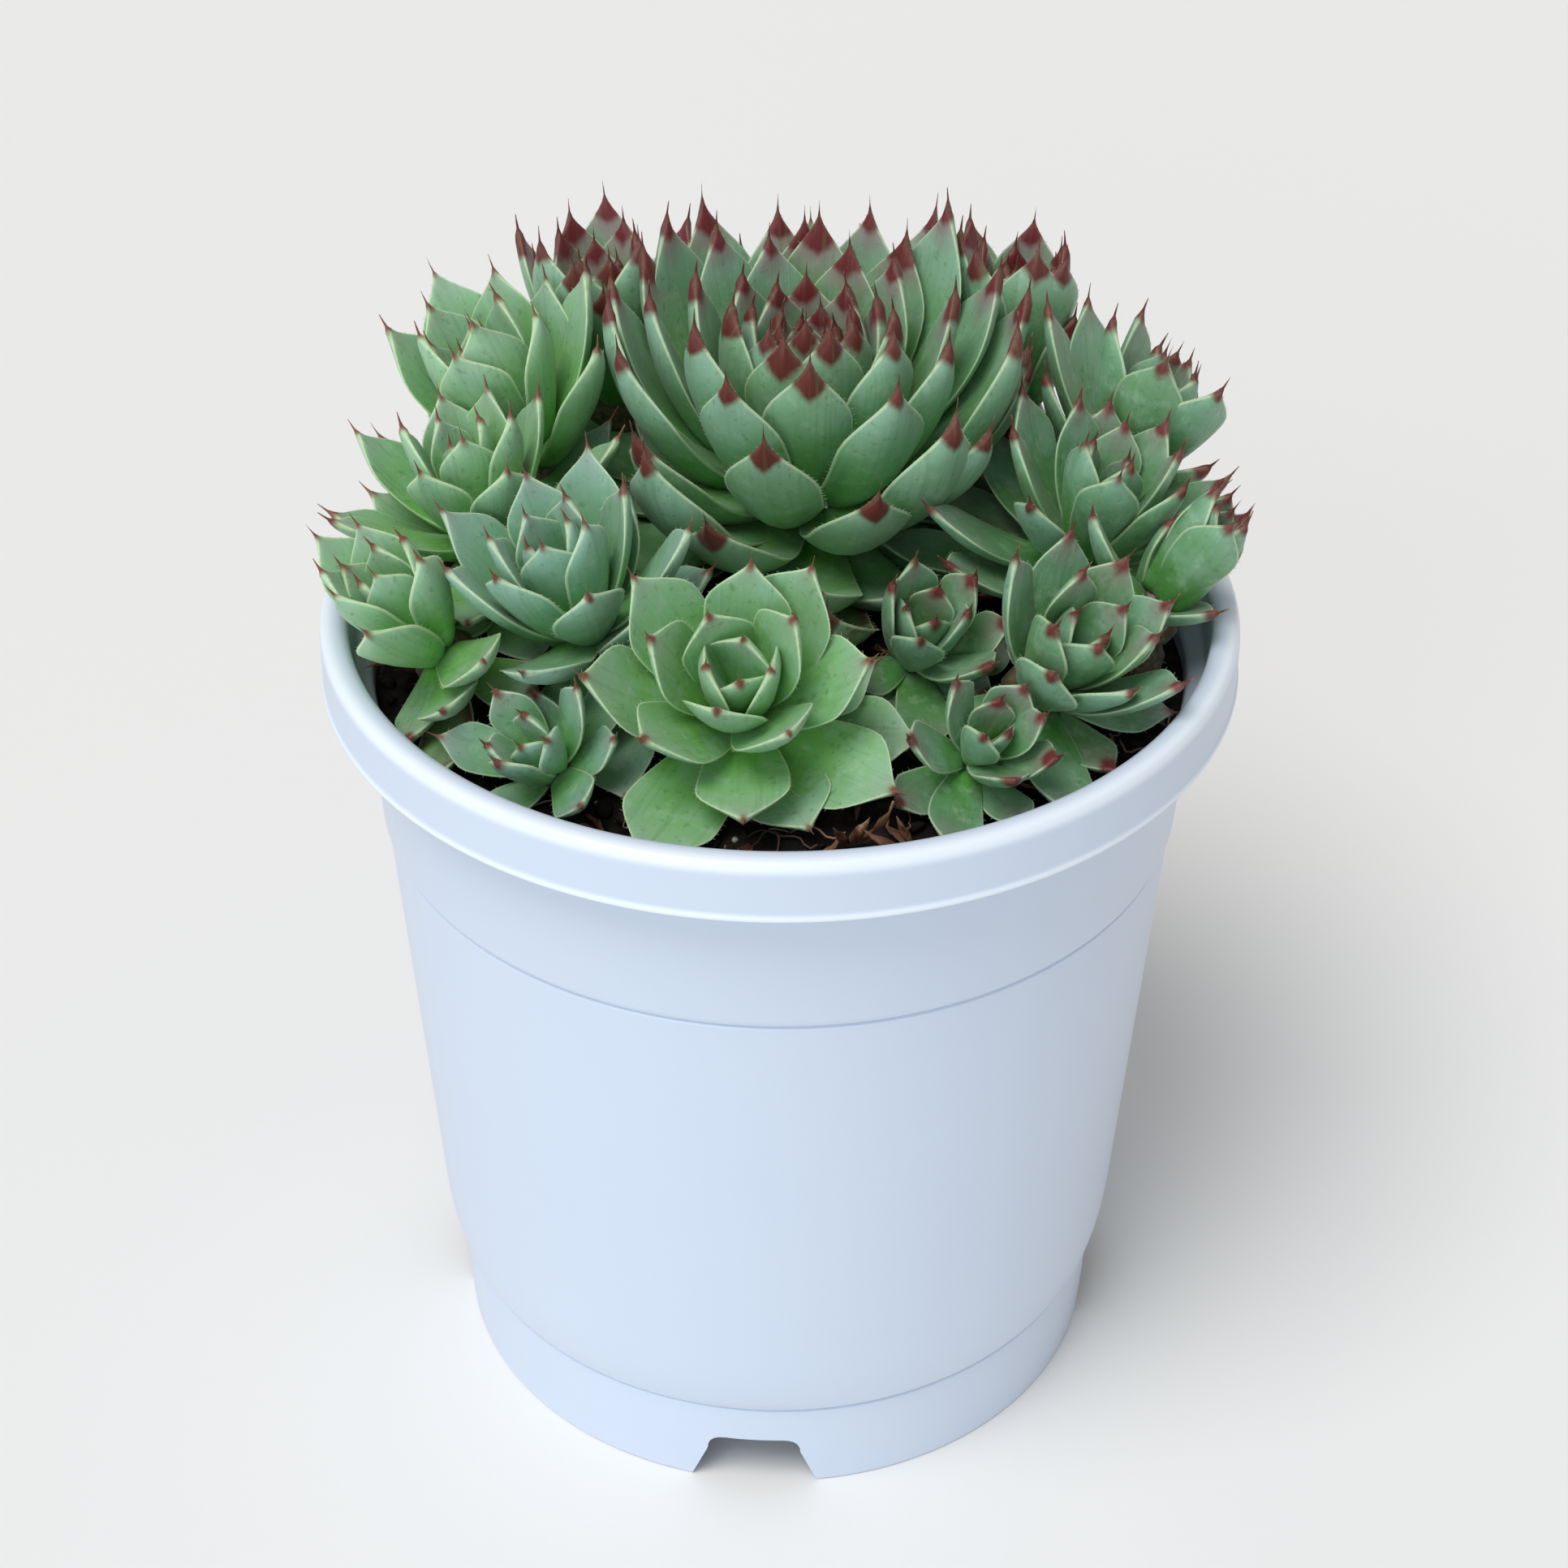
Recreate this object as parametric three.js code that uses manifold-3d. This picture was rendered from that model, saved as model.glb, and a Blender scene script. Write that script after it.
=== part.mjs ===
// Common houseleek in a plastic pot: a clump of leaf rosettes, one large and fifteen offsets.
// Millimetres, +Z up. The pot stands on Z = 0, its axis is the Z axis and the front faces -Y.
import * as THREE from "three";
import { mergeVertices } from "three/addons/utils/BufferGeometryUtils.js";
import Module from "manifold-3d";

const wasm = await Module();
wasm.setup();
const { Manifold, Mesh } = wasm;

const DEG = Math.PI / 180;
const ROUND_SIDES = 40;

// Pot
const POT_HEIGHT = 127.7;
const RIM_RADIUS = 65;
const LIP_RADIUS = 60.7;
const FOOT_RADIUS = 49.7;
const NOTCH = { count: 4, first: -93.8, bottomWidth: 19.8, topWidth: 14, height: 9.4, corner: 2.8 };
const DRAIN = { count: 6, radius: 4, ring: 36 };
const FLOOR_TOP = 12;
const FLOOR_UNDER = 10.4;

// Outside of the pot from the foot up to the lip, then the inside down to the floor
const POT_OUTSIDE = [
  [0, FLOOR_UNDER], [48.2, FLOOR_UNDER], [47.8, 0], [FOOT_RADIUS, 0],
  [50.5, 16], [51.6, 18.4], [52.6, 23.5], [57.4, 95.8], [58.1, 97], [59.2, 117.4],
  [61.6, 119.8], [61.9, 125.8], [63.5, 125.8], [63.6, 118.7],
  [RIM_RADIUS, 118.7], [RIM_RADIUS - 0.1, 126.2], [64.2, 127.4], [63.2, POT_HEIGHT],
  [61.8, POT_HEIGHT], [LIP_RADIUS, 126.9],
];
const INNER_WALL = [[60.3, 120.6], [57.7, 118.4], [51.1, 24], [49.3, 17.5], [48.7, FLOOR_TOP]];

// Soil
const SOIL_GAP = 0.3;
const SOIL_EDGE_HEIGHT = 115.5;
const SOIL_MID_HEIGHT = 119.5;
const SOIL_RADIUS = 57.2;
const SOIL_BUMP = 0.45;
const SOIL_RINGS = 4;

// Rosettes: place of the crown, lean from upright and the way it leans (0 is +X, -90 the front),
// reach of the longest leaf, how many leaves, where the first one points, the way the spiral
// winds, the least and greatest angle between leaf and axis, leaf breadth by reach, and haste:
// the smaller it is, the sooner the leaves are placed among those of the other rosettes
const ROSETTES = [
  { name: "mother", at: [4, 28, 128], lean: 3, way: -90, reach: 58, leaves: 90, phase: 60,
    hand: 1, spread: [4, 82], breadth: 0.27, haste: 0.3, tone: "mother" },
  { name: "front", at: [-5, -25, 122], lean: 34, way: -95, reach: 32, leaves: 30, phase: 20,
    hand: 1, spread: [6, 98], breadth: 0.46, haste: 0.6, tone: "fresh" },
  { name: "blue", at: [-26, -11, 124], lean: 18, way: -140, reach: 35, leaves: 36, phase: 0,
    hand: 1, spread: [6, 96], breadth: 0.38, haste: 0.6, tone: "blue" },
  { name: "left", at: [-45, -13, 123], lean: 30, way: 200, reach: 31, leaves: 32, phase: 10,
    hand: -1, spread: [6, 98], breadth: 0.38, haste: 0.7, tone: "fresh" },
  { name: "right", at: [34, -18, 121], lean: 32, way: -45, reach: 32, leaves: 32, phase: 0,
    hand: -1, spread: [6, 98], breadth: 0.38, haste: 0.8, tone: "dark" },
  { name: "green", at: [-35, 26, 129], lean: 20, way: 192, reach: 40, leaves: 38, phase: 40,
    hand: -1, spread: [6, 100], breadth: 0.38, haste: 0.42, tone: "fresh" },
  { name: "east", at: [50, -6, 126], lean: 30, way: -12, reach: 32, leaves: 32, phase: 80,
    hand: 1, spread: [6, 98], breadth: 0.38, haste: 0.65, tone: "dark" },
  { name: "northwest", at: [-25, 45, 130], lean: 8, way: 125, reach: 38, leaves: 40, phase: 60,
    hand: 1, spread: [5, 86], breadth: 0.33, haste: 0.5, tone: "mother" },
  { name: "northeast", at: [34, 43, 130], lean: 8, way: 50, reach: 38, leaves: 38, phase: 10,
    hand: 1, spread: [5, 84], breadth: 0.35, haste: 0.6, tone: "mother" },
  { name: "outer", at: [48.5, 23, 128], lean: 20, way: 10, reach: 38, leaves: 38, phase: 30,
    hand: 1, spread: [5, 98], breadth: 0.34, haste: 0.32, tone: "dark" },
  { name: "nook", at: [18, -10, 121], lean: 26, way: -70, reach: 25, leaves: 24, phase: 0,
    hand: 1, spread: [6, 92], breadth: 0.40, haste: 1, tone: "dark" },
  { name: "pup", at: [-29, -33, 119], lean: 38, way: -130, reach: 20, leaves: 18, phase: 50,
    hand: 1, spread: [6, 94], breadth: 0.42, haste: 0.8, tone: "blue" },
  { name: "back", at: [3, 53, 129], lean: 8, way: 92, reach: 32, leaves: 30, phase: 50,
    hand: 1, spread: [5, 84], breadth: 0.40, haste: 0.7, tone: "fresh" },
  { name: "shade", at: [-41, 8, 127], lean: 10, way: 178, reach: 32, leaves: 30, phase: 50,
    hand: 1, spread: [6, 98], breadth: 0.38, haste: 0.36, tone: "fresh" },
  { name: "tuck", at: [25, -32, 120.3], lean: 34, way: -62, reach: 21, leaves: 18, phase: 20,
    hand: 1, spread: [6, 94], breadth: 0.42, haste: 1, tone: "dark" },
  { name: "cleft", at: [42, 6, 126], lean: 12, way: -10, reach: 32, leaves: 30, phase: 30,
    hand: 1, spread: [6, 98], breadth: 0.36, haste: 0.3, tone: "dark" },
];

const TONES = {
  mother: { color: 0x5e8f70, roughness: 0.55 },
  fresh: { color: 0x6ea35c, roughness: 0.55 },
  blue: { color: 0x74a088, roughness: 0.6 },
  dark: { color: 0x4f8258, roughness: 0.55 },
};

// Leaf rule
const GOLDEN_ANGLE = 137.508;
const SHOULDER = 0.62;
const TIP_DRAW = 1.2;
const BASE_WIDTH = 0.45;
const YOUNG_WIDTH = 0.55;
const BLADE = { least: 0.4, byReach: 0.035, thinning: 0.75 };
const JITTER = { turn: 0.12, length: 0.1, tilt: 4 };

// Habit: length of the youngest leaf by reach and how fast it grows with age, how fast the leaves
// open, how far they curve inwards, how wide and how high their roots stand on the crown by reach
const MOTHER_HABIT = {
  growth: [0.36, 0.8], opening: 0.95, bow: [15, 38], rootSpread: 0.14, rootRise: 0.1,
};
const OFFSET_HABIT = {
  growth: [0.4, 0.6], opening: 0.85, bow: [12, 14], rootSpread: 0.1, rootRise: 0.25,
};
const CUPPING = 0.26;
const CLEARANCE = 2;
const TEST_ALONG = [0.15, 0.27, 0.38, 0.48, 0.57, 0.66, 0.74, 0.82, 0.9, 1];
const TEST_ACROSS = [-1, -0.5, 0, 0.5, 1];
const FIRST_CLEAR_OF_SOIL = 3 * TEST_ACROSS.length;
const PLANT_RADIUS = 64.6;
const RIM_CLEARANCE = 2.4;
const SOIL_CLEARANCE = 1.5;
const SHRINKS = [1, 0.88, 0.76, 0.64, 0.52];
const BEND_STEPS = 12;
const BEND_STEP = 4 * DEG;

// Leaf solid, crown and stem
const BUD_AGE = 0.19;
const STATIONS = [0.2, 0.55, 0.79];
const FAR_STATIONS = [0.2, 0.66];
const NEAR_ROSETTES = [
  "mother", "front", "blue", "left", "right", "nook", "green", "east", "pup", "cleft", "shade",
];
const CROWN_PROFILE = [[0, -0.04], [0.17, 0.02], [0.27, 0.13], [0.28, 0.26], [0.19, 0.4], [0, 0.48]];
const STEM_DEPTH = 8;
const STEM_RING = 50;
const STEM_SIDES = 8;
const SIMPLIFY = 0.08;
const NODE_GAP = 0.35;

// How much more than the gap a swollen copy grows, so that its thin margins and points clear it too
const SWELL = { sideways: 3, thickness: 2, length: 2 };

function random(a, b, c) {
  const value = Math.sin(a * 12.9898 + b * 78.233 + c * 37.719) * 43758.5453;
  return value - Math.floor(value);
}

function soilHeight(radius) {
  const share = Math.min(1, radius / 59);
  return SOIL_MID_HEIGHT + (SOIL_EDGE_HEIGHT - SOIL_MID_HEIGHT) * share * share;
}

// Solids from triangles

function solidFrom(positions, triangles) {
  const mesh = new Mesh({
    numProp: 3,
    vertProperties: Float32Array.from(positions),
    triVerts: Uint32Array.from(triangles),
  });
  mesh.merge();
  return new Manifold(mesh);
}

function solidFromGeometry(geometry) {
  const bare = new THREE.BufferGeometry();
  bare.setAttribute("position", geometry.getAttribute("position").clone());
  if (geometry.index) bare.setIndex(geometry.index.clone());
  const merged = mergeVertices(bare, 1e-4);
  const index = merged.index.array;
  const triangles = [];
  for (let i = 0; i < index.length; i += 3) {
    const [a, b, c] = [index[i], index[i + 1], index[i + 2]];
    if (a !== b && b !== c && c !== a) triangles.push(a, b, c);
  }
  return solidFrom(merged.getAttribute("position").array, triangles);
}

// A turned solid: the profile gives radius and height, anticlockwise seen with the axis at left
function turned(profile, sides) {
  const points = profile.map(([radius, height]) => new THREE.Vector2(radius, height));
  const geometry = new THREE.LatheGeometry(points, sides);
  geometry.rotateX(Math.PI / 2);
  return geometry;
}

function geometryFrom(solid) {
  const mesh = solid.getMesh();
  const geometry = new THREE.BufferGeometry();
  geometry.setAttribute("position", new THREE.BufferAttribute(mesh.vertProperties, 3));
  geometry.setIndex(new THREE.BufferAttribute(mesh.triVerts, 1));
  return geometry;
}

// Pot and soil

function notchCutter() {
  const { bottomWidth, topWidth, height, corner } = NOTCH;
  const shape = new THREE.Shape();
  shape.moveTo(-bottomWidth / 2, -1);
  shape.lineTo(bottomWidth / 2, -1);
  shape.lineTo(topWidth / 2, height - corner);
  shape.quadraticCurveTo(topWidth / 2 - 0.2, height, topWidth / 2 - corner, height);
  shape.lineTo(corner - topWidth / 2, height);
  shape.quadraticCurveTo(0.2 - topWidth / 2, height, -topWidth / 2, height - corner);
  shape.closePath();
  const thickness = 8;
  const geometry = new THREE.ExtrudeGeometry(shape, {
    depth: thickness, bevelEnabled: false, curveSegments: 3,
  });
  geometry.translate(0, 0, -thickness / 2);
  geometry.rotateX(Math.PI / 2);
  geometry.translate(0, -FOOT_RADIUS, 0);
  return geometry;
}

function makePot() {
  const profile = [...POT_OUTSIDE, ...INNER_WALL, [0, FLOOR_TOP]];
  let pot = solidFromGeometry(turned(profile, ROUND_SIDES));
  for (let i = 0; i < NOTCH.count; i++) {
    const cutter = notchCutter();
    cutter.rotateZ((NOTCH.first + 90 + i * 360 / NOTCH.count) * DEG);
    pot = pot.subtract(solidFromGeometry(cutter));
  }
  for (let i = 0; i < DRAIN.count; i++) {
    const angle = (i + 0.5) * 2 * Math.PI / DRAIN.count;
    const hole = new THREE.CylinderGeometry(DRAIN.radius, DRAIN.radius, 6, 12);
    hole.rotateX(Math.PI / 2);
    hole.translate(DRAIN.ring * Math.cos(angle), DRAIN.ring * Math.sin(angle), FLOOR_TOP - 1);
    pot = pot.subtract(solidFromGeometry(hole));
  }
  return pot;
}

function makeSoil() {
  const side = INNER_WALL.slice(2).reverse();
  const profile = [[0, FLOOR_TOP + SOIL_GAP]];
  for (const [radius, height] of side) {
    profile.push([radius - SOIL_GAP, Math.max(height, FLOOR_TOP + SOIL_GAP)]);
  }
  for (let ring = SOIL_RINGS; ring >= 0; ring--) {
    const radius = SOIL_RADIUS * ring / SOIL_RINGS;
    profile.push([radius, soilHeight(radius)]);
  }
  const geometry = turned(profile, ROUND_SIDES);
  const points = geometry.getAttribute("position");
  for (let i = 0; i < points.count; i++) {
    const [x, y, z] = [points.getX(i), points.getY(i), points.getZ(i)];
    const onTop = z > SOIL_EDGE_HEIGHT - 1 && Math.hypot(x, y) < SOIL_RADIUS - 1;
    if (onTop) points.setZ(i, z + SOIL_BUMP * Math.sin(0.31 * x + 1) * Math.cos(0.27 * y));
  }
  let soil = solidFromGeometry(geometry);
  for (const plant of ROSETTES) {
    soil = soil.subtract(rod(stemFoot(plant), plant.at, stemRadius(plant) + SOIL_GAP, SOIL_GAP));
  }
  return soil;
}

// Rosettes

function stemRadius(plant) {
  return 1.2 + 0.1 * plant.reach;
}

// The stem's foot in the soil, kept inside the wall for a rosette that hangs over it
function stemFoot(plant) {
  const [x, y] = plant.at;
  const radius = Math.sqrt(x * x + y * y);
  const share = Math.min(1, STEM_RING / radius);
  return [x * share, y * share, soilHeight(radius * share) - STEM_DEPTH];
}

// A round rod between two points, longer at its foot by foot
function rod(from, to, radius, foot = 0) {
  const start = new THREE.Vector3(...from);
  const along = new THREE.Vector3(...to).sub(start);
  const length = along.length();
  const geometry = new THREE.CylinderGeometry(radius, radius, length + foot, STEM_SIDES);
  geometry.translate(0, (length - foot) / 2, 0);
  const turn = new THREE.Quaternion().setFromUnitVectors(
    new THREE.Vector3(0, 1, 0), along.normalize(),
  );
  geometry.applyQuaternion(turn);
  geometry.translate(...from);
  return solidFromGeometry(geometry);
}

// Axes of a rosette: up along its axis, out the way it leans, and sideways
function axesOf(plant) {
  const lean = plant.lean * DEG;
  const way = plant.way * DEG;
  return {
    up: [Math.sin(lean) * Math.cos(way), Math.sin(lean) * Math.sin(way), Math.cos(lean)],
    out: [Math.cos(lean) * Math.cos(way), Math.cos(lean) * Math.sin(way), -Math.sin(lean)],
    aside: [-Math.sin(way), Math.cos(way), 0],
  };
}

// Leaf number k of a rosette before it is bent clear: the inner leaves are short and upright,
// the outer ones long and spread
function growLeaf(plant, number, k) {
  const age = (k + 0.5) / plant.leaves;
  const [r1, r2, r3] = [1, 2, 3].map((which) => random(number, k, which));
  const habit = plant.name === "mother" ? MOTHER_HABIT : OFFSET_HABIT;
  const { reach } = plant;
  const [youngest, pace] = habit.growth;
  const growth = youngest + (1 - youngest) * Math.pow(age, pace);
  const opening = (1 - Math.cos(Math.PI * Math.pow(age, habit.opening))) / 2;
  const [closed, open] = plant.spread;
  const [bow, moreBow] = habit.bow;
  return {
    plant, number, k, age,
    axes: axesOf(plant),
    turn: plant.phase * DEG + plant.hand * GOLDEN_ANGLE * DEG * k + (r1 - 0.5) * JITTER.turn,
    length: reach * growth * (1 + (r2 - 0.5) * JITTER.length),
    tilt: (closed + (open - closed) * opening + (r3 - 0.5) * JITTER.tilt) * DEG,
    bow: (bow + moreBow * age) * DEG,
    rootRadius: 0.5 + habit.rootSpread * reach * Math.sqrt(age),
    rootHeight: habit.rootRise * reach * (1 - age),
    width: reach * plant.breadth * (YOUNG_WIDTH + (1 - YOUNG_WIDTH) * Math.sqrt(age)),
    thickness: BLADE.least + BLADE.byReach * reach,
  };
}

// Half the leaf's width as a share of its widest: broad shoulder, then drawn in to a thin point
function widthShare(along) {
  if (along <= SHOULDER) {
    return BASE_WIDTH + (1 - BASE_WIDTH) * Math.sin(Math.PI / 2 * along / SHOULDER);
  }
  return (1 + Math.cos(Math.PI * Math.pow((along - SHOULDER) / (1 - SHOULDER), TIP_DRAW))) / 2;
}

// A point of the leaf: along from root 0 to tip 1, across from -1 to 1, face 1 inside, -1 outside,
// and extra the gap that a swollen copy of the leaf keeps around it
function leafPoint(leaf, along, across, face = 0, extra = 0) {
  const start = leaf.tilt + leaf.bow;
  const angle = start - 2 * leaf.bow * along;
  const bend = leaf.length / (2 * leaf.bow);
  const ribOut = leaf.rootRadius + bend * (Math.cos(angle) - Math.cos(start));
  const ribUp = leaf.rootHeight + bend * (Math.sin(start) - Math.sin(angle));
  const half = leaf.width / 2 * widthShare(along);
  const sideways = (half + SWELL.sideways * extra) * across;
  const thickest = leaf.thickness + SWELL.thickness * extra;
  const thickness = thickest * (1 - across * across) * (1 - BLADE.thinning * along);
  const cup = CUPPING * Math.abs(sideways * across);
  const lift = cup + face * thickness;
  const outward = ribOut - Math.cos(angle) * lift;
  const upward = ribUp + Math.sin(angle) * lift;
  const a = outward * Math.cos(leaf.turn) - sideways * Math.sin(leaf.turn);
  const b = outward * Math.sin(leaf.turn) + sideways * Math.cos(leaf.turn);
  const { up, out, aside } = leaf.axes;
  return leaf.plant.at.map((c, i) => c + a * out[i] + b * aside[i] + upward * up[i]);
}

function testPoints(leaf) {
  return TEST_ALONG.flatMap((along) => TEST_ACROSS.map((across) => leafPoint(leaf, along, across)));
}

function squaredDistance(p, q) {
  const x = p[0] - q[0];
  const y = p[1] - q[1];
  const z = p[2] - q[2];
  return x * x + y * y + z * z;
}

function ballAround(points) {
  const centre = [0, 1, 2].map((i) => points.reduce((sum, p) => sum + p[i], 0) / points.length);
  const radius = Math.sqrt(Math.max(...points.map((p) => squaredDistance(p, centre))));
  return { centre, radius };
}

function clearOfPot(points) {
  return points.every(([x, y, z], i) => {
    const radius = Math.sqrt(x * x + y * y);
    if (radius > PLANT_RADIUS) return false;
    if (radius > LIP_RADIUS - RIM_CLEARANCE && z < POT_HEIGHT + RIM_CLEARANCE) return false;
    return i < FIRST_CLEAR_OF_SOIL || z > soilHeight(radius) + SOIL_CLEARANCE;
  });
}

function clearOfOthers(number, points, ball, placed) {
  for (const other of placed) {
    if (other.number === number) continue;
    const reach = ball.radius + other.radius + CLEARANCE;
    if (squaredDistance(ball.centre, other.centre) > reach * reach) continue;
    for (const p of points) {
      for (const q of other.points) {
        if (squaredDistance(p, q) < CLEARANCE * CLEARANCE) return false;
      }
    }
  }
  return true;
}

// Points around the stem from the soil up to the crown
function stemPoints(plant) {
  const foot = stemFoot(plant);
  const height = plant.at[2] - foot[2];
  const radius = stemRadius(plant);
  const points = [];
  for (let up = STEM_DEPTH; up < height; up += 2) {
    const centre = foot.map((c, i) => c + (plant.at[i] - c) * up / height);
    for (let i = 0; i < 8; i++) {
      const angle = i * Math.PI / 4;
      points.push([
        centre[0] + radius * Math.cos(angle), centre[1] + radius * Math.sin(angle), centre[2],
      ]);
    }
  }
  return points;
}

// All leaves, youngest first over the whole clump. A leaf that would touch another rosette is
// bent up or down, then made smaller, and left out where nothing fits.
function growClump() {
  const placed = ROSETTES.map((plant, number) => {
    const points = stemPoints(plant);
    return { number, points, ...ballAround(points) };
  });
  const queue = [];
  ROSETTES.forEach((plant, number) => {
    for (let k = 0; k < plant.leaves; k++) {
      queue.push({ plant, number, k, rank: (k + 0.5) / plant.leaves * plant.haste });
    }
  });
  queue.sort((p, q) => p.rank - q.rank || p.number - q.number || p.k - q.k);
  const leaves = [];
  for (const { plant, number, k } of queue) {
    const leaf = growLeaf(plant, number, k);
    if (settle(leaf, placed)) leaves.push(leaf);
  }
  return leaves;
}

function settle(leaf, placed) {
  const { tilt, length, width } = leaf;
  for (const shrink of SHRINKS) {
    leaf.length = length * shrink;
    leaf.width = width * (0.4 + 0.6 * shrink);
    for (let step = 0; step < BEND_STEPS; step++) {
      const turns = Math.floor((step + 1) / 2) * (step % 2 ? -1 : 1);
      leaf.tilt = tilt + turns * BEND_STEP;
      if (leaf.tilt < 0.03) continue;
      const points = testPoints(leaf);
      if (!clearOfPot(points)) continue;
      const ball = ballAround(points);
      if (!clearOfOthers(leaf.number, points, ball, placed)) continue;
      placed.push({ number: leaf.number, points, ...ball });
      return true;
    }
  }
  return false;
}

// A leaf as a closed blade with two margins, a hollow inner face and a keel outside
function leafSolid(leaf, extra = 0) {
  const positions = [];
  const triangles = [];
  const stations = NEAR_ROSETTES.includes(leaf.plant.name) ? STATIONS : FAR_STATIONS;
  const longer = SWELL.length * extra / leaf.length;
  for (const station of stations) {
    const along = station === stations[0] ? station - longer : station;
    positions.push(...leafPoint(leaf, along, -1, 0, extra));
    positions.push(...leafPoint(leaf, along, 0, 1, extra));
    positions.push(...leafPoint(leaf, along, 1, 0, extra));
    positions.push(...leafPoint(leaf, along, 0, -1, extra));
  }
  positions.push(...leafPoint(leaf, 1 + longer, 0, 0, extra));
  const tip = 4 * stations.length;
  triangles.push(0, 1, 2, 0, 2, 3);
  for (let station = 0; station < stations.length; station++) {
    for (let i = 0; i < 4; i++) {
      const a = 4 * station + i;
      const b = 4 * station + (i + 1) % 4;
      if (station === stations.length - 1) triangles.push(b, a, tip);
      else triangles.push(b, a, a + 4, b, a + 4, b + 4);
    }
  }
  return solidFrom(positions, triangles);
}

// The crown that holds the leaf roots: a rounded body along the rosette's axis
function crownSolid(plant, extra = 0) {
  const profile = CROWN_PROFILE.map(([radius, height]) => {
    const swell = radius > 0 ? extra : 0;
    return [radius * plant.reach + swell, height * plant.reach];
  });
  profile[0][1] -= extra;
  profile[profile.length - 1][1] += extra;
  const geometry = turned(profile, STEM_SIDES);
  const { up, out, aside } = axesOf(plant);
  const placing = new THREE.Matrix4().makeBasis(
    new THREE.Vector3(...out), new THREE.Vector3(...aside), new THREE.Vector3(...up),
  );
  placing.setPosition(...plant.at);
  geometry.applyMatrix4(placing);
  return solidFromGeometry(geometry);
}

function stemSolid(plant, extra = 0) {
  return rod(stemFoot(plant), plant.at, stemRadius(plant) + extra, extra);
}

function rosetteSolid(plant, leaves, extra = 0) {
  const blades = leaves.map((leaf) => leafSolid(leaf, extra));
  return Manifold.union([crownSolid(plant, extra), stemSolid(plant, extra), ...blades]);
}

function largestBody(solid) {
  const bodies = solid.decompose();
  return bodies.reduce((best, body) => (body.volume() > best.volume() ? body : best));
}

// A ring a little larger than the pot's rim, which no rosette may enter
function rimKeepOut() {
  const inner = LIP_RADIUS - 2 * NODE_GAP;
  const outer = RIM_RADIUS + NODE_GAP;
  const bottom = INNER_WALL[1][1];
  const top = POT_HEIGHT + NODE_GAP;
  const profile = [[inner, bottom], [outer, bottom], [outer, top], [inner, top], [inner, bottom]];
  return solidFromGeometry(turned(profile, ROUND_SIDES));
}

function makeRosettes() {
  const leaves = growClump();
  const rim = rimKeepOut();
  const swollen = [];
  return ROSETTES.map((plant, number) => {
    const own = leaves.filter((leaf) => leaf.number === number && leaf.age > BUD_AGE);
    let solid = rosetteSolid(plant, own);
    for (const other of [rim, ...swollen]) {
      if (solid.intersect(other).volume() > 0) solid = solid.subtract(other);
    }
    swollen.push(rosetteSolid(plant, own, NODE_GAP));
    return { plant, solid: largestBody(solid).simplify(SIMPLIFY) };
  });
}

// The object

function addNode(group, name, solid, look) {
  const material = new THREE.MeshStandardMaterial({ metalness: 0, ...look });
  const mesh = new THREE.Mesh(geometryFrom(solid), material);
  mesh.name = name;
  group.add(mesh);
}

const houseleek = new THREE.Group();
addNode(houseleek, "pot", makePot(), { color: 0xd4def0, roughness: 0.45 });
addNode(houseleek, "soil", makeSoil(), { color: 0x241c17, roughness: 0.95 });
for (const { plant, solid } of makeRosettes()) {
  addNode(houseleek, `rosette_${plant.name}`, solid, TONES[plant.tone]);
}

export default houseleek;
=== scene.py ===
"""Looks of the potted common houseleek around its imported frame. Metres, +Z up, front faces -Y."""
import math

import bmesh
import bpy
import numpy as np
from mathutils import Matrix, Vector


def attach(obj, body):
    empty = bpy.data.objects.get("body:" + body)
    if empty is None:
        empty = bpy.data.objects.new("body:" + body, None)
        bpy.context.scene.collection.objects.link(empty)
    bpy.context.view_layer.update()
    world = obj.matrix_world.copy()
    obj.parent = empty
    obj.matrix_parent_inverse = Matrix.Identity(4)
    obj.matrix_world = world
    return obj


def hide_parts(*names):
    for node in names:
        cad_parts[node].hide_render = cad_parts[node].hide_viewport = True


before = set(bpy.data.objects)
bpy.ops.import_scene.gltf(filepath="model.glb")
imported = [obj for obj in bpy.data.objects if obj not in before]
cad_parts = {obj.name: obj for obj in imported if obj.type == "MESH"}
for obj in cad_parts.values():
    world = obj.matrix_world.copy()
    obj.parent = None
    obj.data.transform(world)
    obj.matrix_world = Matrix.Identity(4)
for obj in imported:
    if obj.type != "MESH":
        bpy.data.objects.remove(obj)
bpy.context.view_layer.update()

MM = 0.001
DEG = math.pi / 180

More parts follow.
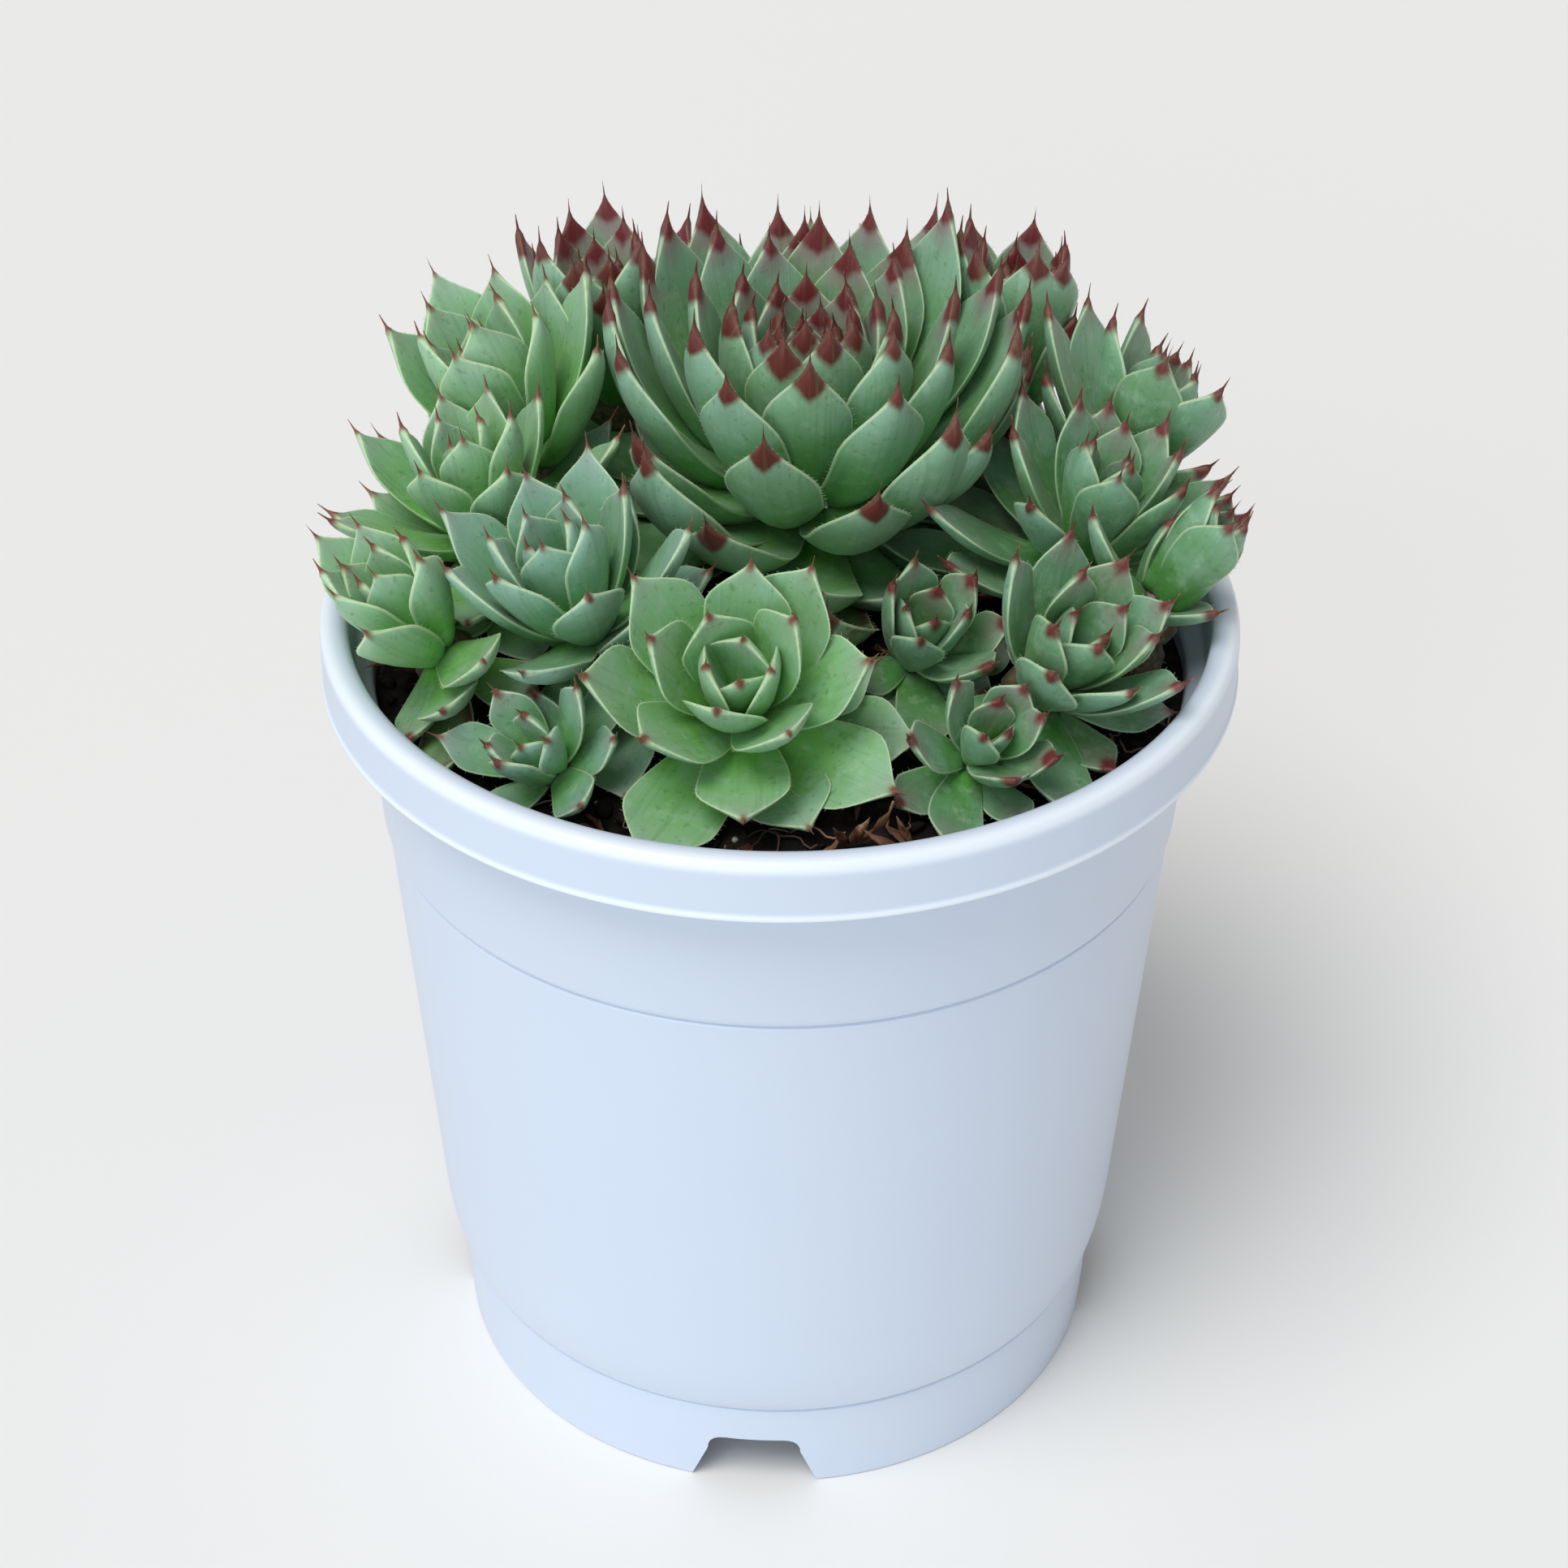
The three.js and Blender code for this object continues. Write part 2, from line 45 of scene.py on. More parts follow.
# Pot, in millimetres: outline from the floor's underside out and up to the lip and down inside,
# as radius, height and how far the corner is rounded
POT_HEIGHT = 127.7
LIP_RADIUS = 60.7
FOOT_RADIUS = 49.7
FLOOR_TOP = 12
POT_PROFILE = [
    (0, 10.4, 0), (48.2, 10.4, 1), (47.8, 0, 0.5), (FOOT_RADIUS, 0, 0.5),
    (50.4, 15.6, 0.15), (49.8, 16, 0.15), (50.7, 16.4, 0.3), (51.6, 18.4, 2), (52.6, 23.5, 4),
    (57.35, 95, 0.15), (56.85, 95.4, 0.15), (57.6, 95.8, 0.2), (57.9, 96.5, 0.4),
    (59.2, 117.4, 1), (61.6, 119.8, 0.6), (61.9, 125.8, 0.5), (63.5, 125.8, 0.5),
    (63.6, 118.7, 0.5), (65, 118.7, 0.4), (65, 119.4, 0.3), (64.7, 119.8, 0.3),
    (64.7, 126.2, 0.9), (64.2, 127.4, 0.6), (63.2, POT_HEIGHT, 0.6),
    (61.8, POT_HEIGHT, 0.6), (LIP_RADIUS, 126.9, 0.7), (60.3, 120.6, 0.8), (57.7, 118.4, 0.8),
    (51.1, 24, 2), (49.3, 17.5, 2), (48.7, FLOOR_TOP, 2), (0, FLOOR_TOP, 0),
]
POT_SIDES = 180
NOTCH = {"count": 4, "first": -93.8, "bottom": 19.8, "top": 14, "height": 9.4, "corner": 2.8}
NOTCH_DEPTH = 4
DRAIN = {"count": 6, "radius": 4, "ring": 36, "sides": 24}
SHARP_ANGLE = 38

# Soil: heights of its domed top, the radius at which the dome ends, the plug's radius at the top and
# radius and height down its wall, then height, seed and pitch of the waves on its top
SOIL_EDGE_HEIGHT = 115.5
SOIL_MID_HEIGHT = 119.5
DOME_RADIUS = 59
SOIL_RADIUS = 57.5
SOIL_WALL = [(57.5, 114), (50.8, 24), (49, 17.5), (48.4, 12.3)]
SOIL_RINGS = 46
SOIL_SIDES = 150
SOIL_WAVES = [(0.45, 3, 0.5), (0.35, 7, 1.3)]
CRUMBS = 900
CRUMB_SIZE = {"least": 0.35, "more": 1.1}

# Rosettes, in the order in which they are grown: place of the crown, lean from upright and the way
# it leans, reach of the longest leaf, leaves, where the first one points, the way the spiral winds,
# least and greatest angle between leaf and axis, breadth by reach, haste, tone
ROSETTE_TABLE = """
mother       4   28    128   3   -90  58  90  60   1  4   82 0.27 0.3 mother
front       -5  -25    122  34   -95  32  30  20   1  6   98 0.46 0.6 fresh
blue       -26  -11    124  18  -140  35  36   0   1  6   96 0.38 0.6 blue
left       -45  -13    123  30   200  31  32  10  -1  6   98 0.38 0.7 fresh
right       34  -18    121  32   -45  32  32   0  -1  6   98 0.38 0.8 dark
green      -35   26    129  20   192  40  38  40  -1  6  100 0.38 0.42 fresh
east        50   -6    126  30   -12  32  32  80   1  6   98 0.38 0.65 dark
northwest  -25   45    130   8   125  38  40  60   1  5   86 0.33 0.5 mother
northeast   34   43    130   8    50  38  38  10   1  5   84 0.35 0.6 mother
outer     48.5   23    128  20    10  38  38  30   1  5   98 0.34 0.32 dark
nook        18  -10    121  26   -70  25  24   0   1  6   92 0.40 1 dark
pup        -29  -33    119  38  -130  20  18  50   1  6   94 0.42 0.8 blue
back         3   53    129   8    92  32  30  50   1  5   84 0.40 0.7 fresh
shade      -41    8    127  10   178  32  30  50   1  6   98 0.38 0.36 fresh
tuck        25  -32  120.3  34   -62  21  18  20   1  6   94 0.42 1 dark
cleft       42    6    126  12   -10  32  30  30   1  6   98 0.36 0.3 dark
"""

# Leaf rule, the same as in the part's source
GOLDEN_ANGLE = 137.508
SHOULDER = 0.62
TIP_DRAW = 1.2
BASE_WIDTH = 0.45
YOUNG_WIDTH = 0.55
BLADE = {"least": 0.4, "by_reach": 0.035}
JITTER = {"turn": 0.12, "length": 0.1, "tilt": 4}
LEAST_ROOT_RADIUS = 0.5
MOTHER_HABIT = {
    "growth": (0.36, 0.8), "opening": 0.95, "bow": (15, 38), "root_spread": 0.14, "root_rise": 0.1,
}
OFFSET_HABIT = {
    "growth": (0.4, 0.6), "opening": 0.85, "bow": (12, 14), "root_spread": 0.1, "root_rise": 0.25,
}
CUPPING = 0.26
CLEARANCE = 2
TEST_ALONG = (0.15, 0.27, 0.38, 0.48, 0.57, 0.66, 0.74, 0.82, 0.9, 1)
TEST_ACROSS = (-1, -0.5, 0, 0.5, 1)
FIRST_CLEAR_OF_SOIL = 3 * len(TEST_ACROSS)
PLANT_RADIUS = 64.6
RIM_CLEARANCE = 2.4
SOIL_CLEARANCE = 1.5
SHRINKS = (1, 0.88, 0.76, 0.64, 0.52)
BEND_STEPS = 12
BEND_STEP = 4 * DEG
LEAST_TILT = 0.03
NARROWING = 0.6
STEM = {"least": 1.2, "by_reach": 0.1}
STEM_DEPTH = 8
STEM_RING = 50
STEM_TEST_SIDES = 8
STEM_TEST_STEP = 2


def random(a, b, c):
    value = math.sin(a * 12.9898 + b * 78.233 + c * 37.719) * 43758.5453
    return value - math.floor(value)


def soil_height(radius):
    share = np.minimum(1, radius / DOME_RADIUS)
    return SOIL_MID_HEIGHT + (SOIL_EDGE_HEIGHT - SOIL_MID_HEIGHT) * share * share


# Growing the clump


class Rosette:
    def __init__(self, number, line):
        words = line.split()
        values = [float(word) for word in words[1:-1]]
        self.number = number
        self.name = words[0]
        self.tone = words[-1]
        self.at = np.array(values[:3])
        lean, way, self.reach = values[3] * DEG, values[4] * DEG, values[5]
        self.leaves = int(values[6])
        self.phase, self.hand = values[7], values[8]
        self.closed, self.open = values[9], values[10]
        self.breadth, self.haste = values[11], values[12]
        self.up = np.array([math.sin(lean) * math.cos(way), math.sin(lean) * math.sin(way),
                            math.cos(lean)])
        self.out = np.array([math.cos(lean) * math.cos(way), math.cos(lean) * math.sin(way),
                             -math.sin(lean)])
        self.aside = np.array([-math.sin(way), math.cos(way), 0])
        self.stem_radius = STEM["least"] + STEM["by_reach"] * self.reach
        radius = math.hypot(self.at[0], self.at[1])
        share = min(1, STEM_RING / radius)
        foot_height = soil_height(radius * share) - STEM_DEPTH
        self.foot = np.array([self.at[0] * share, self.at[1] * share, foot_height])

    def place(self, a, b, up):
        """Points at a along out, b along aside and up along the axis, in millimetres."""
        a, b, up = np.broadcast_arrays(a, b, up)
        return (self.at + a[..., None] * self.out + b[..., None] * self.aside
                + up[..., None] * self.up)


class Leaf:
    """Leaf number k of a rosette before it is bent clear."""

    def __init__(self, plant, k):
        age = (k + 0.5) / plant.leaves
        r1, r2, r3 = [random(plant.number, k, which) for which in (1, 2, 3)]
        habit = MOTHER_HABIT if plant.name == "mother" else OFFSET_HABIT
        youngest, pace = habit["growth"]
        growth = youngest + (1 - youngest) * age ** pace
        opening = (1 - math.cos(math.pi * age ** habit["opening"])) / 2
        bow, more_bow = habit["bow"]
        self.plant, self.k, self.age = plant, k, age
        self.chance = random(plant.number, k, 4)
        self.turn = (plant.phase * DEG + plant.hand * GOLDEN_ANGLE * DEG * k
                     + (r1 - 0.5) * JITTER["turn"])
        self.length = plant.reach * growth * (1 - JITTER["length"] / 2 + JITTER["length"] * r2)
        self.tilt = (plant.closed + (plant.open - plant.closed) * opening
                     + (r3 - 0.5) * JITTER["tilt"]) * DEG
        self.bow = (bow + more_bow * age) * DEG
        self.root_radius = LEAST_ROOT_RADIUS + habit["root_spread"] * plant.reach * math.sqrt(age)
        self.root_height = habit["root_rise"] * plant.reach * (1 - age)
        widening = YOUNG_WIDTH + (1 - YOUNG_WIDTH) * math.sqrt(age)
        self.width = plant.reach * plant.breadth * widening
        self.thickness = BLADE["least"] + BLADE["by_reach"] * plant.reach

    def half_width(self, along):
        """Broad shoulder, then drawn in to a thin point."""
        rising = BASE_WIDTH + (1 - BASE_WIDTH) * np.sin(math.pi / 2 * along / SHOULDER)
        drawn = np.clip((along - SHOULDER) / (1 - SHOULDER), 0, 1) ** TIP_DRAW
        falling = (1 + np.cos(math.pi * drawn)) / 2
        return self.width / 2 * np.where(along <= SHOULDER, rising, falling)

    def surface(self, along, sideways, lift):
        """Points at a share along the rib, sideways from it and lifted inwards, in millimetres."""
        start = self.tilt + self.bow
        angle = start - 2 * self.bow * along
        bend = self.length / (2 * self.bow)
        rib_out = self.root_radius + bend * (np.cos(angle) - math.cos(start))
        rib_up = self.root_height + bend * (math.sin(start) - np.sin(angle))
        outward = rib_out - np.cos(angle) * lift
        upward = rib_up + np.sin(angle) * lift
        a = outward * math.cos(self.turn) - sideways * math.sin(self.turn)
        b = outward * math.sin(self.turn) + sideways * math.cos(self.turn)
        return self.plant.place(a, b, upward)

    def test_points(self):
        along, across = np.meshgrid(TEST_ALONG, TEST_ACROSS, indexing="ij")
        half = self.half_width(along)
        return self.surface(along, half * across, CUPPING * half * across ** 2).reshape(-1, 3)


def ball_around(points):
    centre = points.mean(axis=0)
    return centre, math.sqrt(((points - centre) ** 2).sum(axis=1).max())


def clear_of_pot(points):
    radius = np.hypot(points[:, 0], points[:, 1])
    height = points[:, 2]
    if radius.max() > PLANT_RADIUS:
        return False
    if ((radius > LIP_RADIUS - RIM_CLEARANCE) & (height < POT_HEIGHT + RIM_CLEARANCE)).any():
        return False
    above = height > soil_height(radius) + SOIL_CLEARANCE
    return above[FIRST_CLEAR_OF_SOIL:].all()


class Placed:
    """Points that leaves of other rosettes keep clear of, each group in a ball."""

    def __init__(self):
        self.owners, self.points, self.centres, self.radii = [], [], [], []

    def add(self, owner, points):
        centre, radius = ball_around(points)
        self.owners.append(owner)
        self.points.append(points)
        self.centres.append(centre)
        self.radii.append(radius)

    def is_clear(self, owner, points):
        centre, radius = ball_around(points)
        gaps = np.linalg.norm(np.array(self.centres) - centre, axis=1)
        near = gaps <= np.array(self.radii) + radius + CLEARANCE
        near &= np.array(self.owners) != owner
        for index in np.nonzero(near)[0]:
            apart = ((points[:, None] - self.points[index][None]) ** 2).sum(axis=2)
            if apart.min() < CLEARANCE ** 2:
                return False
        return True


def stem_points(plant):
    """Rings of points round the stem above the soil, which leaves keep clear of."""
    height = plant.at[2] - plant.foot[2]
    up = np.arange(STEM_DEPTH, height, STEM_TEST_STEP)
    centres = plant.foot + (plant.at - plant.foot) * (up / height)[:, None]
    angles = np.arange(STEM_TEST_SIDES) * 2 * math.pi / STEM_TEST_SIDES
    ring = np.stack([np.cos(angles), np.sin(angles), 0 * angles], axis=1) * plant.stem_radius
    return (centres[:, None] + ring[None]).reshape(-1, 3)


def settle(leaf, placed):
    """Bends the leaf clear of what is placed, or makes it smaller. False if nothing fits."""
    tilt, length, width = leaf.tilt, leaf.length, leaf.width
    for shrink in SHRINKS:
        leaf.length = length * shrink
        leaf.width = width * (1 - NARROWING + NARROWING * shrink)
        for step in range(BEND_STEPS):
            turns = (step + 1) // 2 * (-1 if step % 2 else 1)
            leaf.tilt = tilt + turns * BEND_STEP
            if leaf.tilt < LEAST_TILT:
                continue
            points = leaf.test_points()
            if clear_of_pot(points) and placed.is_clear(leaf.plant.number, points):
                placed.add(leaf.plant.number, points)
                return True
    return False


def grow_clump(plants):
    """The leaves that fit, placed in turn from all the rosettes, and what they keep clear of."""
    placed = Placed()
    queue = []
    for plant in plants:
        placed.add(plant.number, stem_points(plant))
        for k in range(plant.leaves):
            queue.append(((k + 0.5) / plant.leaves * plant.haste, plant.number, k))
    leaves = []
    for _, number, k in sorted(queue):
        leaf = Leaf(plants[number], k)
        if settle(leaf, placed):
            leaves.append(leaf)
    return leaves, placed


# Meshes


def make_object(name, points, faces, material, attributes=None):
    """A smooth-shaded mesh from points in millimetres. Attributes are vectors, one a point."""
    mesh = bpy.data.meshes.new(name)
    mesh.from_pydata((np.asarray(points) * MM).tolist(), [], [list(face) for face in faces])
    for key, values in (attributes or {}).items():
        layer = mesh.attributes.new(key, "FLOAT_VECTOR", "POINT")
        layer.data.foreach_set("vector", np.asarray(values, np.float32).ravel())
    mesh.validate()
    mesh.shade_smooth()
    mesh.materials.append(material)
    piece = bpy.data.objects.new(name, mesh)
    bpy.context.scene.collection.objects.link(piece)
    return piece


class Builder:
    """Gathers closed shells for one object, with the leaf attributes:
    place is the share along, distance from the rib and distance from the margin,
    traits are distance from the tip, the leaf's own random share and its age,
    side is 1 on the inner face and -1 outside, then the signed distance from the rib."""

    def __init__(self):
        self.points, self.faces, self.places, self.traits, self.sides = [], [], [], [], []
        self.count = 0

    def add(self, points, faces, places=None, traits=None, sides=None):
        points = np.asarray(points, float).reshape(-1, 3)
        blank = np.zeros_like(points)
        self.points.append(points)
        self.places.append(blank if places is None else places)
        self.traits.append(blank if traits is None else traits)
        self.sides.append(blank if sides is None else sides)
        self.faces.extend([tuple(int(i) + self.count for i in face) for face in faces])
        self.count += len(points)

    def build(self, name, material):
        attributes = {
            "leaf_place": np.concatenate(self.places),
            "leaf_traits": np.concatenate(self.traits),
            "leaf_side": np.concatenate(self.sides),
        }
        return make_object(name, np.concatenate(self.points), self.faces, material, attributes)


def loop_faces(rows, loop):
    """Quads between rows of closed loops, with both ends capped by one point each at the end
    of the list: the first for the start, the second for the end."""
    faces = []
    for row in range(rows - 1):
        for i in range(loop):
            a, b = row * loop + i, row * loop + (i + 1) % loop
            faces.append((b, a, a + loop, b + loop))
    start, end = rows * loop, rows * loop + 1
    last = (rows - 1) * loop
    for i in range(loop):
        after = (i + 1) % loop
        faces.append((start, i, after))
        faces.append((end, last + after, last + i))
    return faces


# Fine leaf: rows along it, closer towards the tip, columns across each face, where its root and its
# first row lie, how much thinner the blade gets, and how its ribs and surface sway and ripple
LEAF_STATIONS = 22
LEAF_COLUMNS = 10
LEAF_LOOP = 2 * (LEAF_COLUMNS + 1)
LEAF_FACES = loop_faces(LEAF_STATIONS, LEAF_LOOP)
STATION_CROWDING = 1.35
LEAF_ROOT = 0.02
LEAF_START = 0.03
THINNING = 0.75
SWAY = 0.012
RIPPLE = 0.012
WARP = 0.006

# Margin's half thickness, and the spine past the tip: its length, half thickness and start
MARGIN_HALF = 0.2
SPINE_LENGTH = 1.5
SPINE_HALF = 0.17
SPINE_START = 0.93
SPINE_POINT = 0.005
SPINE_CAP = 0.003

# Hairs along the margins: from where to where, how far apart and how long, how far each leans
# towards the tip and rises by its length, and how deep its root sinks
HAIR_RANGE = (0.16, 0.95)
HAIR_SPACING = 1.1
HAIR_LENGTH = 0.45
HAIR_HALF = 0.035
HAIR_LEAN = 0.35
HAIR_RISE = 0.3
HAIR_SINK = 0.05
HAIR_FACES = [(0, 2, 1), (0, 1, 3), (1, 2, 3), (2, 0, 3)]

# Places and distances from the tip that the leaf material reads as margin and as wood
HAIR_PLACE = (0.6, 5, 0)
HAIR_FROM_TIP = 20
WOOD_TRAITS = (50, 0.5, 2)
WOOD_FROM_MARGIN = 2

# Stem: points up it, its uneven thickness, and the crown's heights and radii by reach
STEM_STATIONS = 9
STEM_SIDES = 14
STEM_UNEVEN = 0.1
CROWN_HEIGHTS = np.linspace(0.04, 0.3, 6)
CROWN_RADII = np.array([0.15, 0.15, 0.12, 0.09, 0.06, 0.03])


def add_leaf(builder, leaf):
    """A leaf as one closed shell: hollow inner face, keeled outer face, blunt pale margin."""
    end = 1 + SPINE_LENGTH / leaf.length
    crowded = 1 - (1 - np.linspace(0, 1, LEAF_STATIONS)) ** STATION_CROWDING
    stations = LEAF_START + (end - LEAF_START - SPINE_POINT) * crowded
    columns = np.sin(np.linspace(-1, 1, LEAF_COLUMNS + 1) * math.pi / 2)
    columns = np.concatenate([columns, columns[::-1]])
    along, across = np.broadcast_arrays(stations[:, None], columns)
    face = np.where(np.arange(LEAF_LOOP) <= LEAF_COLUMNS, 1, -1) + 0 * along

    # Outline, with the rib swaying and the margin rippling a little
    number, k = leaf.plant.number, leaf.k
    wave = [random(number, k, which) for which in (5, 6, 7, 8)]
    spine = SPINE_HALF * np.clip((end - along) / (end - SPINE_START), 0.1, 1)
    half = np.maximum(leaf.half_width(along), spine)
    sway = SWAY * leaf.length * (wave[0] - 0.5) * np.sin(math.pi * along)
    ripple = 1 + RIPPLE * np.sin(along * (9 + 5 * wave[1]) + 6.3 * wave[2] + 2 * across)
    sideways = half * across * ripple + sway

    # Thickness, most at the rib, with the margin blunt
    body = leaf.thickness * (1 - across ** 2) * (1 - THINNING * along)
    margin = np.minimum(MARGIN_HALF, 0.6 * half)
    thickness = np.minimum(body, 0.85 * half) + margin * (0.35 + 0.65 * (1 - across ** 8))
    warp = WARP * leaf.width * np.sin(across * 2.6 + 6.3 * wave[3]) * np.sin(along * 7)
    lift = CUPPING * half * across ** 2 + face * thickness + warp

    points = leaf.surface(along, sideways, lift).reshape(-1, 3)
    ends = leaf.surface(np.array([LEAF_ROOT, end + SPINE_CAP]), np.zeros(2), np.zeros(2))
    from_rib = half * across
    from_margin = half * (1 - np.abs(across))
    none = np.zeros_like(along)
    places = np.stack([along, np.abs(from_rib), from_margin], axis=-1)
    traits = np.stack([(1 - along) * leaf.length, none + leaf.chance, none + leaf.age], axis=-1)
    sides = np.stack([face, from_rib, none], axis=-1)
    end_places = [[LEAF_ROOT, 0, 1], [1, 0, 0]]
    end_traits = [[leaf.length, leaf.chance, leaf.age], [-SPINE_LENGTH, leaf.chance, leaf.age]]
    builder.add(
        np.concatenate([points, ends]), LEAF_FACES,
        np.concatenate([places.reshape(-1, 3), end_places]),
        np.concatenate([traits.reshape(-1, 3), end_traits]),
        np.concatenate([sides.reshape(-1, 3), np.zeros((2, 3))]),
    )
    add_hairs(builder, leaf)


def add_hairs(builder, leaf):
    """Short stiff hairs along both margins, each a thin spike."""
    number, k = leaf.plant.number, leaf.k
    count = max(3, int(0.8 * leaf.length / HAIR_SPACING))
    for side in (-1, 1):
        along = np.linspace(*HAIR_RANGE, count) + 0.004 * np.sin(np.arange(count) * 7.3 + k)
        half = leaf.half_width(along)
        lift = CUPPING * half
        longer = HAIR_LENGTH * (0.8 + 0.4 * np.sin(np.arange(count) * 3.7 + number + k))
        lean = HAIR_LEAN * longer / leaf.length
        step = HAIR_HALF / leaf.length
        root = side * (half - HAIR_SINK)
        corners = [
            leaf.surface(along - step, root, lift - HAIR_HALF),
            leaf.surface(along + step, root, lift - HAIR_HALF),
            leaf.surface(along, root, lift + HAIR_HALF),
            leaf.surface(along + lean, side * (half + longer), lift + HAIR_RISE * longer),
        ]
        points = np.stack(corners, axis=1).reshape(-1, 3)
        faces = [[4 * i + j for j in (face if side < 0 else face[::-1])]
                 for i in range(count) for face in HAIR_FACES]
        places = np.tile(HAIR_PLACE, (len(points), 1))
        traits = np.tile([HAIR_FROM_TIP, leaf.chance, leaf.age], (len(points), 1))
        builder.add(points, faces, places, traits, np.zeros_like(points))


TUBE_POINT = 0.3


def tube(points, radii, sides):
    """Points and faces of a closed tube along a path, its two ends slightly pointed."""
    points = np.asarray(points, float)
    tangents = np.gradient(points, axis=0)
    tangents /= np.linalg.norm(tangents, axis=1)[:, None]
    helper = np.array([0.31, 0.17, 0.93])
    first = np.cross(tangents, helper)
    first /= np.linalg.norm(first, axis=1)[:, None]
    second = np.cross(tangents, first)
    angles = np.arange(sides) * 2 * math.pi / sides
    ring = (np.cos(angles)[None, :, None] * first[:, None]
            + np.sin(angles)[None, :, None] * second[:, None])
    shell = points[:, None] + np.asarray(radii, float)[:, None, None] * ring
    ends = np.stack([points[0] - tangents[0] * radii[0] * TUBE_POINT,
                     points[-1] + tangents[-1] * radii[-1] * TUBE_POINT])
    faces = [face[::-1] for face in loop_faces(len(points), sides)]
    return np.concatenate([shell.reshape(-1, 3), ends]), faces


def add_stem(builder, plant):
    """Short woody stem up to a small crown that the leaves grow from."""
    steps = np.linspace(0, 1, STEM_STATIONS)
    path = plant.foot + (plant.at - plant.foot) * steps[:, None]
    path = np.concatenate([path, plant.at + CROWN_HEIGHTS[:, None] * plant.reach * plant.up])
    radii = np.concatenate([
        plant.stem_radius * (1 - STEM_UNEVEN + STEM_UNEVEN * np.sin(steps * 20)),
        plant.reach * CROWN_RADII,
    ])
    points, faces = tube(path, radii, STEM_SIDES)
    places = np.tile((0, 0, WOOD_FROM_MARGIN), (len(points), 1))
    traits = np.tile(WOOD_TRAITS, (len(points), 1))
    builder.add(points, faces, places, traits)


# Node materials


def colour(red, green, blue):
    """Linear colour from the usual 0 to 255 values."""
    def linear(value):
        value /= 255
        return value / 12.92 if value <= 0.04045 else ((value + 0.055) / 1.055) ** 2.4
    return (linear(red), linear(green), linear(blue), 1)


class Nodes:
    """A material with short calls for its nodes."""

    def __init__(self, name):
        self.material = bpy.data.materials.new(name)
        self.material.use_nodes = True
        self.tree = self.material.node_tree
        self.shader = self.tree.nodes["Principled BSDF"]

    def link(self, source, socket):
        self.tree.links.new(source, socket)

    def feed(self, socket, value):
        if isinstance(value, bpy.types.NodeSocket):
            self.link(value, socket)
        else:
            socket.default_value = value

    def node(self, kind, **settings):
        made = self.tree.nodes.new(kind)
        for key, value in settings.items():
            setattr(made, key, value)
        return made

    def split(self, vector):
        parts = self.node("ShaderNodeSeparateXYZ")
        self.link(vector, parts.inputs[0])
        return parts.outputs["X"], parts.outputs["Y"], parts.outputs["Z"]

    def attribute(self, name):
        source = self.node("ShaderNodeAttribute", attribute_name=name)
        return self.split(source.outputs["Vector"])

    def place(self):
        return self.node("ShaderNodeTexCoord").outputs["Object"]

    def math(self, operation, first, second=0.0):
        made = self.node("ShaderNodeMath", operation=operation)
        self.feed(made.inputs[0], first)
        self.feed(made.inputs[1], second)
        return made.outputs[0]

    def steps(self, value, low, high, start=0.0, end=1.0):
        """Smooth change from start to end while value goes from low to high."""
        made = self.node("ShaderNodeMapRange", interpolation_type="SMOOTHSTEP")
        for key, given in zip(("Value", "From Min", "From Max", "To Min", "To Max"),
                              (value, low, high, start, end)):
            self.feed(made.inputs[key], given)
        return made.outputs["Result"]

    def noise(self, scale, detail=3.0, roughness=0.55, vector=None, output="Fac"):
        made = self.node("ShaderNodeTexNoise")
        self.link(vector or self.place(), made.inputs["Vector"])
        made.inputs["Scale"].default_value = scale
        made.inputs["Detail"].default_value = detail
        made.inputs["Roughness"].default_value = roughness
        return made.outputs[output]

    def mix(self, share, first, second, blend="MIX"):
        made = self.node("ShaderNodeMix", data_type="RGBA", blend_type=blend)
        self.feed(made.inputs["Factor"], share)
        self.feed(made.inputs[6], first)
        self.feed(made.inputs[7], second)
        return made.outputs[2]

    def ramp(self, value, stops):
        made = self.node("ShaderNodeValToRGB")
        self.link(value, made.inputs[0])
        elements = made.color_ramp.elements
        while len(elements) < len(stops):
            elements.new(0.5)
        for element, (position, shade) in zip(elements, stops):
            element.position = position
            element.color = shade
        return made.outputs["Color"]

    def bump(self, height, strength, distance, normal=None):
        made = self.node("ShaderNodeBump")
        made.inputs["Strength"].default_value = strength
        made.inputs["Distance"].default_value = distance
        self.link(height, made.inputs["Height"])
        if normal:
            self.link(normal, made.inputs["Normal"])
        return made.outputs["Normal"]

    def set(self, **values):
        for key, value in values.items():
            self.feed(self.shader.inputs[key.replace("_", " ")], value)
        return self.material


# Leaf tones, one for each kind of rosette: colours along the leaf, the coloured point with its size
# in millimetres, how red the inner face blushes, the margin and the spine
LEAF_TONES = {
    "mother": {
        "root": (84, 164, 54), "middle": (112, 168, 106), "upper": (142, 182, 154),
        "tip": (102, 6, 16), "tip_size": 6, "blush": 0.65,
        "margin": (198, 218, 180), "spine": (92, 22, 26),
    },
    "fresh": {
        "root": (108, 184, 64), "middle": (126, 184, 112), "upper": (154, 196, 158),
        "tip": (122, 48, 42), "tip_size": 1.5, "blush": 0.2,
        "margin": (200, 222, 178), "spine": (132, 76, 58),
    },
    "blue": {
        "root": (100, 168, 76), "middle": (120, 172, 130), "upper": (148, 188, 168),
        "tip": (116, 46, 42), "tip_size": 1.6, "blush": 0.25,
        "margin": (200, 220, 186), "spine": (126, 72, 56),
    },
    "dark": {
        "root": (82, 148, 66), "middle": (98, 150, 98), "upper": (120, 164, 132),
        "tip": (106, 22, 28), "tip_size": 2.7, "blush": 0.4,
        "margin": (184, 206, 168), "spine": (98, 40, 34),
    },
}


